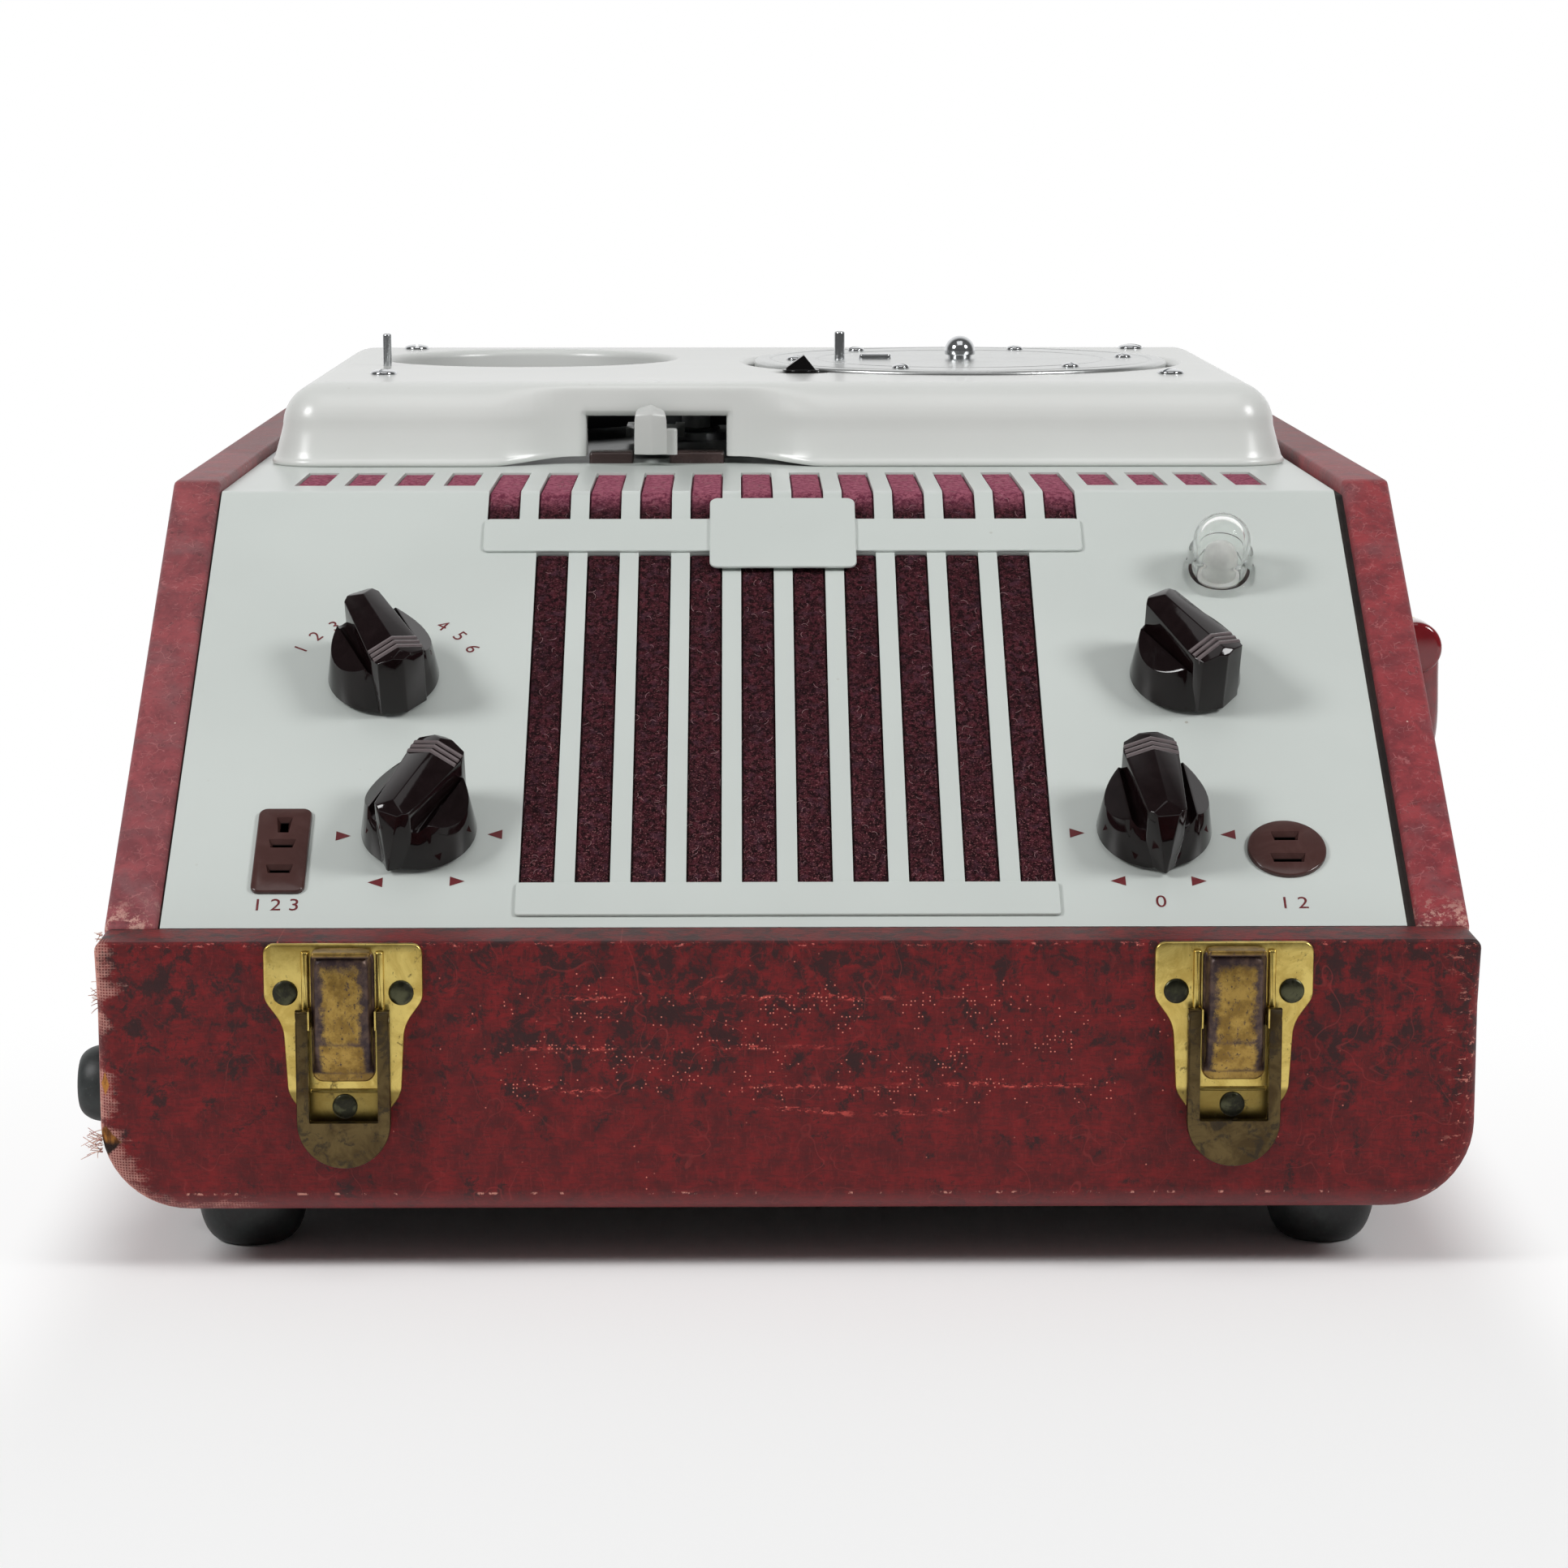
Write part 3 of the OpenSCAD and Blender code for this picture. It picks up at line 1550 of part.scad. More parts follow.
chassis_t = 1.2;
chassis_top = floor_z + chassis_h;
valve_count = 5;
valve_pitch = 40;
valve_socket_h = 6;
valve_row = 26;
supply_inset = 46;
core_w = 58;
core_d = 46;
core_h = 24;
winding_w = 38;
winding_d = 58;
winding_h = 40;
strap_w = 74;
strap_d = 12;
transformer_x = 68;
smoothing_r = 16;
smoothing_h = 38;
smoothing_x = -85;
smoothing_pitch = 37;
smoothing_shift = 10;

module amplifier_chassis() {
    color("slategray")
        translate([-chassis_w / 2, chassis_y, floor_z])
            difference() {
                cube([chassis_w, chassis_d, chassis_h]);
                translate([chassis_t, chassis_t, -past])
                    cube([chassis_w - 2 * chassis_t, chassis_d - 2 * chassis_t,
                        chassis_h - chassis_t + past]);
            }
}

module amplifier_valves() {
    color([0.6, 0.66, 0.68])
        for (i = [0 : valve_count - 1])
            translate([(i - (valve_count - 1) / 2) * valve_pitch, chassis_y + valve_row, chassis_top]) {
                cylinder(r = tube_r + 2, h = valve_socket_h);
                cylinder(r = tube_r, h = valve_socket_h + tube_h - tube_r);
                translate([0, 0, valve_socket_h + tube_h - tube_r])
                    sphere(tube_r);
            }
}

module power_supply() {
    supply_y = chassis_y + chassis_d - supply_inset;
    color("darkgray") {
        translate([transformer_x, supply_y, chassis_top + winding_h / 2]) {
            cube([core_w, core_d, winding_h], center = true);
            translate([0, 0, (core_h - winding_h) / 2])
                cube([strap_w, strap_d, core_h], center = true);
            cube([winding_w, winding_d, core_h], center = true);
        }
        for (i = [0, 1])
            translate([smoothing_x + i * smoothing_pitch, supply_y - smoothing_shift, chassis_top])
                cylinder(r = smoothing_r, h = smoothing_h);
    }
}

placed() bottom_board();
placed() side_boards();
placed() corner_rails();
placed() front_board();
placed() rear_board();
placed() panel_cleats();
placed() rubber_feet();
placed() side_bumpers();
placed() foot_screws();
placed() handle_grip();
placed() handle_brackets();
placed() handle_pins();
placed() latch_plates();
placed() latch_lever_left();
placed() latch_lever_right();
placed() latch_hook_left();
placed() latch_hook_right();
placed() latch_pins();
placed() latch_rivets();
placed() lid_hinge_leaves();
placed() cord_grommet();
placed() control_panel();
placed() grille_trim();
placed() grille_cloth();
placed() speaker_basket();
placed() speaker_cone();
placed() speaker_magnet();
placed() record_knob();
placed() volume_knob();
placed() tone_knob();
placed() power_knob();
placed() record_shaft();
placed() volume_shaft();
placed() tone_shaft();
placed() power_shaft();
placed() control_bodies();
placed() control_nuts();
placed() lamp_lens();
placed() lamp_bulb();
placed() lamp_holder();
placed() input_socket();
placed() output_socket();
placed() deck_plate();
placed() deck_cover();
placed() deck_fittings();
placed() supply_turntable();
placed() supply_spindle();
placed() takeup_drum();
placed() drum_fittings();
placed() drum_shaft();
placed() deck_bearings();
placed() recording_head();
placed() control_lever();
placed() drive_motor();
placed() motor_pulley();
placed() idler_arm();
placed() idler_wheel();
placed() amplifier_chassis();
placed() amplifier_valves();
placed() power_supply();
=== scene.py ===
"""Looks of a portable wire recorder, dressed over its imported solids. Forms are drawn in millimetres."""
import json
import math

import bmesh
import bpy
from mathutils import Matrix, Vector, noise


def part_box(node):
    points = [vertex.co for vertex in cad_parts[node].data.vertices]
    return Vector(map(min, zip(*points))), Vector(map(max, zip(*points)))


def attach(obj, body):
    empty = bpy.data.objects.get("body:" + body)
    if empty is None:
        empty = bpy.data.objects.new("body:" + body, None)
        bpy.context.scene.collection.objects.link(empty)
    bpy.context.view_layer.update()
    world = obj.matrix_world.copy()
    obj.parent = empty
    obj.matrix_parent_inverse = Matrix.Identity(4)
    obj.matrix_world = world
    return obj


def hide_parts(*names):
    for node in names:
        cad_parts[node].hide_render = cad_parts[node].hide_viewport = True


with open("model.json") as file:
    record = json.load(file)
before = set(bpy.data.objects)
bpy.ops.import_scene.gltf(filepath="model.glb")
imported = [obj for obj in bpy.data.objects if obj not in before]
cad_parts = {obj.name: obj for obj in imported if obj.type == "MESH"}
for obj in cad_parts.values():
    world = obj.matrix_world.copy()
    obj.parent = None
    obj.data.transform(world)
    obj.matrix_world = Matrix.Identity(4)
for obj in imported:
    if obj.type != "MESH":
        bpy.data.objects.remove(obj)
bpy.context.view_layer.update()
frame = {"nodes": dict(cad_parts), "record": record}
noise.seed_set(3)

# Sizes are in millimetres. Places are from the middle of the front face at floor level.

# Case
CASE_W = 296
CASE_D = 410
CASE_Z = 13.8
WALL = 9.5
SIDE_T = 11.5
FRONT_T = 14.5
FRONT_TOP = 73.6
CORNER_R = 19
INNER_X = CASE_W / 2 - SIDE_T
INNER_Y = CASE_D - WALL
FOOT_X = 119
FOOT_Y = 32
BUMPER_PLACES = [(28, 36.3), (CASE_D - 28, 36.3), (175, 103.8), (CASE_D - 28, 103.8)]
HANDLE_X = CASE_W / 2 + 8.3
HANDLE_Y = (CASE_D / 2 - 61, CASE_D / 2 + 61)
HANDLE_Z = CASE_Z + 103.5
CORD_X = 95
CORD_Z = CASE_Z + 46
CORD_HOLE_R = 8.1

# Panel; the slots and the cloth are measured up its slope, and the last two of the slots from its bend
SLOPE = math.radians(33.8)
SLOPE_LEN = 149.5
PANEL_Y = 15.2
BEND_Y = PANEL_Y + SLOPE_LEN * math.cos(SLOPE)
DECK_Z = FRONT_TOP + SLOPE_LEN * math.sin(SLOPE)
SIDE_TOP = DECK_Z + 2.5
SLOT_PITCH = 12.23
SLOT_W = 7.77
SLOT_LOW = 13.3
SLOT_HIGH = 126.2
SLOT_UPPER = 138.1
STRIP_FRONT = 15
SLOT_BACK = 51
CLOTH_HALF = 124
CLOTH_LOW = 7.3
CLOTH_HIGH = SLOPE_LEN + 57

# Controls: place across and up the slope, and a knob's turn at rest; heights are above the panel's face
KNOBS = {
    "record": (-92.5, 80.9, 26),
    "volume": (-81.5, 29.5, 155),
    "tone": (92.5, 80.9, 33),
    "power": (81.5, 29.5, -174),
}
KNOB_R = 12.8
KNOB_FOOT = 1.2
LOBE_TOP = 12.6
LOBE_CREST = 7.25
BAR_TOP = 18.6
BAR_ROOF = 0.366
LAMP_AT = (103.6, 118)
INPUT_AT = (-111.5, 23.6)
OUTPUT_AT = (110.5, 23.6)
SOCKET_FACE = 1
PRINT_LIFT = 0.06

# Latches; the pin's place is from the top edge of the front board
LATCH_X = 95
LATCH_T = 1.2
PIN_Y = -16
PIN_Z = 4

# Deck cover; the slot and the scoop for the lever are measured from its foot
DECK_W = 265.6
DECK_D = 182
DECK_H = 21.2
DECK_Y = INNER_Y - 11.3 - DECK_D
DECK_TOP = DECK_Z + DECK_H
COVER_PAD = 14
COVER_ROUND = 11
COVER_SIDE = DECK_W / 2 - COVER_PAD
SCREW_X = 106
SCREW_Y = (44.7, 161)
POST_AT = (-108, DECK_Y + 81)
DRUM_AT = Vector((52, DECK_Y + 99.7))
DRUM_R = 58
DRUM_TOP = DECK_TOP + 0.8
WELL_AT = Vector((-70, DECK_Y + 117.7))
WELL_R = 41
HEAD_AT = DRUM_AT - Vector((1, 1)) * (DRUM_R + 6.5) * 0.7071
LEVER_X = -33.4
LEVER_SLOT = (LEVER_X - 16.9, LEVER_X + 19.7)
SLOT_TOP = 12.4
SLOT_DEPTH = 20
SCOOP_X = (-77, 13)
SCOOP_FALL = 23.7
SCOOP_DEPTH = 9.5
SCOOP_ARCH = 2

front_low, front_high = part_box("front_board")
ORIGIN = Vector(((front_low.x + front_high.x) / 2, front_low.y, 0))
CASE = Matrix.Translation(ORIGIN) @ Matrix.Scale(0.001, 4)
ON_PANEL = Matrix.Translation((0, PANEL_Y, FRONT_TOP)) @ Matrix.Rotation(SLOPE, 4, "X")
ON_DECK = Matrix.Translation((0, DECK_Y, DECK_Z))


def at_panel(x, u, turn=0, lift=0):
    """Place on the sloped panel: Y runs up the slope and Z stands out of it."""
    return ON_PANEL @ Matrix.Translation((x, u, lift)) @ Matrix.Rotation(math.radians(turn), 4, "Z")


# Shader building


def tint(red, green, blue):
    """A colour written as it is seen on a screen, 0 to 255."""
    seen = (red / 255, green / 255, blue / 255)
    return tuple(c / 12.92 if c <= 0.04045 else ((c + 0.055) / 1.055) ** 2.4 for c in seen) + (1,)


class Value:
    """An output in a node tree; its operators add Math nodes."""

    def __init__(self, owner, socket):
        self.owner = owner
        self.socket = socket

    def maths(self, operation, first, second=0.0):
        return self.owner.node("ShaderNodeMath", {"operation": operation}, {0: first, 1: second})

    def __add__(self, other):
        return self.maths("ADD", self, other)

    def __radd__(self, other):
        return self.maths("ADD", other, self)

    def __sub__(self, other):
        return self.maths("SUBTRACT", self, other)

    def __rsub__(self, other):
        return self.maths("SUBTRACT", other, self)

    def __mul__(self, other):
        return self.maths("MULTIPLY", self, other)

    def __abs__(self):
        return self.maths("ABSOLUTE", self)

    def sine(self):
        return self.maths("SINE", self)

    def most(self, other):
        return self.maths("MAXIMUM", self, other)

    def reach(self, other):
        """Length of the straight line to a point that is this far and that far away."""
        return self.maths("SQRT", self * self + other * other)

    def rise(self, low, high):
        """0 below low, 1 above high, smooth between; high may be the smaller one."""
        ends = {0: self, 1: low, 2: high, 3: 0.0, 4: 1.0}
        if low > high:
            ends = {0: self, 1: high, 2: low, 3: 1.0, 4: 0.0}
        return self.owner.node("ShaderNodeMapRange", {"interpolation_type": "SMOOTHSTEP"}, ends)


class Nodes:
    """A node tree that is built with plain calls."""

    def __init__(self, tree):
        self.tree = tree
        tree.nodes.clear()

    def node(self, kind, settings=None, inputs=None, out=0):
        made = self.tree.nodes.new(kind)
        for key, value in (settings or {}).items():
            setattr(made, key, value)
        for key, value in (inputs or {}).items():
            if isinstance(value, Value):
                self.tree.links.new(value.socket, made.inputs[key])
            else:
                made.inputs[key].default_value = value
        return Value(self, made.outputs[out]) if made.outputs else None


class Finish(Nodes):
    """A procedural material whose patterns are measured in millimetres on the case."""

    SOCKETS = {
        "metal": "Metallic", "normal": "Normal", "coat": "Coat Weight", "coat_rough": "Coat Roughness",
        "glass": "Transmission Weight", "bend": "IOR", "level": "Specular IOR Level",
        "sheen": "Sheen Weight", "sheen_rough": "Sheen Roughness",
    }

    def __init__(self, name):
        self.material = bpy.data.materials.new(name)
        self.material.use_nodes = True
        super().__init__(self.material.node_tree)
        object_place = self.node("ShaderNodeTexCoord", out="Object")
        to_case = {0: object_place, 1: (1000,) * 3, 2: tuple(-1000 * ORIGIN)}
        self.place = self.node("ShaderNodeVectorMath", {"operation": "MULTIPLY_ADD"}, to_case)
        self.colour = None

    def axis(self, letter):
        return self.node("ShaderNodeSeparateXYZ", {}, {0: self.place}, letter)

    def cloud(self, size, detail=3, rough=0.55, along=None, warp=0.0):
        """Soft noise about 0.5, with patches of that size; along squeezes them by its three factors."""
        place = self.place
        if along:
            place = self.node("ShaderNodeVectorMath", {"operation": "MULTIPLY"}, {0: place, 1: along})
        sockets = {"Vector": place, "Scale": 1 / size, "Detail": detail}
        sockets.update({"Roughness": rough, "Distortion": warp})
        return self.node("ShaderNodeTexNoise", {}, sockets)

    def cells(self, size, feature="F1", place=None):
        sockets = {"Vector": place or self.place, "Scale": 1 / size}
        return self.node("ShaderNodeTexVoronoi", {"feature": feature}, sockets, "Distance")

    def veins(self, size, width, warp):
        """Thin wandering lines, 0 to 1."""
        return abs(self.cloud(size, 2, 0.5, warp=warp) - 0.5).rise(width, width * 0.2)

    def mix(self, share, first, second):
        """A blend of two colours, each a value or three numbers as seen on a screen."""
        ends = [end if isinstance(end, Value) else tint(*end) for end in (first, second)]
        return self.node("ShaderNodeMix", {"data_type": "RGBA"}, {0: share, 6: ends[0], 7: ends[1]}, 2)

    def lay(self, share, first, second):
        """Starts the colour as a blend of two."""
        self.colour = self.mix(share, first, second)

    def over(self, share, colour):
        """Lays another colour over a share of what is there."""
        self.colour = self.mix(share, self.colour, colour)

    def relief(self, height, depth, strength):
        """Bump of that depth in millimetres."""
        sockets = {"Strength": strength, "Distance": depth * 0.001, "Height": height}
        return self.node("ShaderNodeBump", {}, sockets)

    def surface(self, roughness, **others):
        sockets = {"Base Color": self.colour, "Roughness": roughness}
        sockets.update({self.SOCKETS[key]: value for key, value in others.items()})
        shader = self.node("ShaderNodeBsdfPrincipled", {}, sockets)
        self.node("ShaderNodeOutputMaterial", {}, {"Surface": shader})
        return self.material


# Form building


def loft(rings, caps=True):
    """A skin through closed rings that all have the same number of points."""
    form = bmesh.new()
    rows = [[form.verts.new(p) for p in ring] for ring in rings]
    skin(form, rows)
    if caps:
        form.faces.new(rows[0])
        form.faces.new(rows[-1])
    return outward(form)


def skin(form, rows):
    """Faces between rows of points that close on themselves."""
    count = len(rows[0])
    for low, high in zip(rows, rows[1:]):
        for i in range(count):
            j = (i + 1) % count
            form.faces.new((low[i], low[j], high[j], high[i]))


def outward(form):
    bmesh.ops.remove_doubles(form, verts=form.verts, dist=0.0005)
    bmesh.ops.recalc_face_normals(form, faces=form.faces)
    return form


def turns(count):
    """Equal angles round a full turn."""
    return [2 * math.pi * k / count for k in range(count)]


def circle(r, steps=64):
    return [(r * math.cos(a), r * math.sin(a)) for a in turns(steps)]


def level(outline, z):
    return [(x, y, z) for x, y in outline]


def turned(profile, steps=96, closed=False):
    """A lathe form from (radius, height) points; closed joins the last point to the first."""
    line = list(profile) + ([profile[0]] if closed else [])
    return loft([level(circle(r, steps), z) for r, z in line], caps=False)


def arc(x, y, r, start, end, steps=8):
    """Points on a circle between two angles in degrees."""
    angles = [math.radians(start + (end - start) * i / steps) for i in range(steps + 1)]
    return [(x + r * math.cos(a), y + r * math.sin(a)) for a in angles]


def filleted(corners, radii, steps=6):
    """An outline whose corners are rounded, each by its own radius or all by one."""
    points = []
    for i, corner in enumerate(corners):
        radius = radii[i] if isinstance(radii, (list, tuple)) else radii
        here = Vector(corner)
        back = (Vector(corners[i - 1]) - here).normalized()
        ahead = (Vector(corners[(i + 1) % len(corners)]) - here).normalized()
        half = back.angle(ahead) / 2
        if radius < 0.001:
            points.append(tuple(here))
            continue
        centre = here + (back + ahead).normalized() * radius / math.sin(half)
        first = here + back * radius / math.tan(half) - centre
        turn = math.pi - 2 * half
        if first.cross(here + ahead * radius / math.tan(half) - centre) < 0:
            turn = -turn
        for k in range(steps + 1):
            points.append(tuple(centre + Matrix.Rotation(turn * k / steps, 2) @ first))
    return points


def box_outline(w, h, r, x=0, y=0):
    corners = [(x - w / 2, y - h / 2), (x + w / 2, y - h / 2), (x + w / 2, y + h / 2), (x - w / 2, y + h / 2)]
    return filleted(corners, r)


def inner_outline(outline, inset):
    """An outline drawn in by a distance; its points run counter-clockwise."""
    points = []
    count = len(outline)
    for i in range(count):
        back = Vector(outline[i]) - Vector(outline[i - 1])
        ahead = Vector(outline[(i + 1) % count]) - Vector(outline[i])
        way = (back.normalized() + ahead.normalized()).normalized()
        lean = max(0.3, way.dot(ahead.normalized()))
        points.append((outline[i][0] - way.y * inset / lean, outline[i][1] + way.x * inset / lean))
    return points


def prism(outline, low, high):
    return loft([level(outline, low), level(outline, high)])


def rounded_edge(outline, top, edge, steps):
    """Rings that draw an outline in round the upper edge of a plate."""
    rings = []
    for k in range(steps + 1):
        angle = math.pi / 2 * k / steps
        drawn = inner_outline(outline, edge * (1 - math.cos(angle)))
        rings.append(level(drawn, top - edge * (1 - math.sin(angle))))
    return rings


def plate(outline, low, high, edge):
    """A prism whose upper edge is rounded."""
    return loft([level(outline, low)] + rounded_edge(outline, high, edge, 3))


def tube(path, radius, sides, taper=0.7):
    """A round string along points, thinner towards its end."""
    rings = []
    last = len(path) - 1
    for i, point in enumerate(path):
        way = (Vector(path[min(i + 1, last)]) - Vector(path[max(i - 1, 0)])).normalized()
        across = way.orthogonal().normalized()
        other = way.cross(across)
        r = radius * (1 - (1 - taper) * i / last)
        rings.append([Vector(point) + (across * math.cos(a) + other * math.sin(a)) * r for a in turns(sides)])
    return loft(rings)


def soft_share(part):
    """A share kept between 0 and 1, with a soft start and end."""
    part = min(1, max(0, part))
    return part * part * (3 - 2 * part)


def joined(*forms):
    whole = bmesh.new()
    for form in forms:
        carrier = bpy.data.meshes.new("carrier")
        form.to_mesh(carrier)
        form.free()
        whole.from_mesh(carrier)
        bpy.data.meshes.remove(carrier)
    return whole


def moved(form, matrix):
    bmesh.ops.transform(form, matrix=matrix, verts=form.verts)
    if matrix.determinant() < 0:
        bmesh.ops.reverse_faces(form, faces=form.faces)
    return form


def shifted(x, y, z):
    return Matrix.Translation((x, y, z))


def quarter(axis):
    """A quarter turn about an axis."""
    return Matrix.Rotation(math.pi / 2, 4, axis)


def cut(form, point, normal):
    """Cuts away what lies beyond a plane and closes the cut."""
    parts = form.verts[:] + form.edges[:] + form.faces[:]
    made = bmesh.ops.bisect_plane(form, geom=parts, plane_co=point, plane_no=normal, clear_outer=True)
    rim = [e for e in made["geom_cut"] if isinstance(e, bmesh.types.BMEdge)]
    bmesh.ops.edgeloop_fill(form, edges=rim)
    return outward(form)


def eased(form, width, steps=2, limit=28):
    """Rounds the edges that are sharper than the limit in degrees."""
    sharp = [e for e in form.edges if len(e.link_faces) == 2 and e.calc_face_angle(0) > math.radians(limit)]
    bmesh.ops.bevel(
        form, geom=sharp, offset=width, offset_type="OFFSET", segments=steps, profile=0.5,
        affect="EDGES", clamp_overlap=True,
    )
    return form


def linked(name, data):
    """An object of the scene that holds a mesh, a lamp or the like."""
    holder = bpy.data.objects.new(name, data)
    bpy.context.scene.collection.objects.link(holder)
    return holder


def held(form, name):
    """A form as an object."""
    mesh = bpy.data.meshes.new(name)
    form.to_mesh(mesh)
    form.free()
    return linked(name, mesh)


def taken(holder, *others):
    """What an object shows, as a form; it and the others leave the scene."""
    shown = holder.evaluated_get(bpy.context.evaluated_depsgraph_get())
    mesh = bpy.data.meshes.new_from_object(shown)
    form = bmesh.new()
    form.from_mesh(mesh)
    for used in (holder, *others):
        bpy.data.objects.remove(used)
    bpy.data.meshes.remove(mesh)
    return form


def carved(form, *tools):
    """Takes closed forms out of a closed form."""
    for tool in tools:
        block = held(form, "carving")
        blade = held(tool, "carving")
        knife = block.modifiers.new("carve", "BOOLEAN")
        knife.operation = "DIFFERENCE"
        knife.solver = "EXACT"
        knife.object = blade
        form = taken(block, blade)
    return form


def solid_copy(node):
    """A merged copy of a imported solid, in millimetres on the case."""
    form = bmesh.new()
    form.from_mesh(frame["nodes"][node].data)
    moved(form, CASE.inverted())
    bmesh.ops.remove_doubles(form, verts=form.verts, dist=0.002)
    bmesh.ops.dissolve_limit(form, angle_limit=math.radians(1), verts=form.verts, edges=form.edges)
    return form


def add_piece(name, form, finish, body="case", stands_for=(), smooth=38, flat=None):
    """Makes a form an object that rides on a body.

    Where a flat area is given, level faces and those that are larger stay unsmoothed.
    """
    form.normal_update()
    rounded = [True] * len(form.faces)
    if flat is not None:
        rounded = [face.calc_area() < flat and abs(face.normal.z) < 0.99999 for face in form.faces]
    mesh = bpy.data.meshes.new(name)
    form.to_mesh(mesh)
    form.free()
    mesh.transform(CASE)
    mesh.materials.append(finish)
    mesh.set_sharp_from_angle(angle=math.radians(smooth))
    mesh.polygons.foreach_set("use_smooth", rounded)
    piece = linked(name, mesh)
    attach(piece, body)
    if stands_for:
        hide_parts(*stands_for)
    return piece


# Finishes


def weave_grid(finish, pitch):
    """Crossing threads, 0 between them and 1 on them."""
    step = 2 * math.pi / pitch
    across = (finish.axis("X") * step).sine()
    up = (finish.axis("Z") * step).sine()
    return across.most(up).rise(0.1, 0.8)


def weave_dots(finish, pitch, share):
    """Small bare crossings of the weave; the share says how many of them show."""
    flat = finish.node("ShaderNodeCombineXYZ", {}, {0: finish.axis("X"), 1: finish.axis("Z")})
    kind = {"voronoi_dimensions": "2D"}
    sockets = {"Vector": flat, "Scale": 1 / pitch, "Randomness": 0.4}
    near = finish.node("ShaderNodeTexVoronoi", kind, sockets, "Distance")
    pick = finish.node("ShaderNodeTexVoronoi", kind, sockets, "Color")
    return near.rise(0.25, 0.1) * (pick + share * 0.42).rise(0.93, 0.98)


def left_wear(f, x, z):
    """Share of worn cloth along the left edge and round its lower corner, and of the bare edge."""
    beside = (CORNER_R - CASE_W / 2 - x).most(0)
    below = (CASE_Z + CORNER_R - z).most(0)
    inward = CORNER_R - beside.reach(below)
    reach = abs(z - 70).rise(6, 3) * 2.8
    for height, half, depth in ((63.5, 1, 4.6), (56, 1, 2), (40, 4, 3.2), (27, 5, 4.6), (19, 3, 2)):
        reach = reach.most(abs(z - height).rise(half + 2.4, half) * depth)
    ragged = f.cloud(1.5, 4, 0.75, along=(0.45, 1, 1)) * 11 - 5.5
    here = x.rise(-108, -124) * f.axis("Y").rise(5.5, 2.5)
    bare = (0.7 - inward + ragged * 0.3).rise(-0.5, 0.6) * reach.rise(0.6, 2.4)
    return (reach - inward + ragged).rise(-1.6, 2.2) * here, bare * here


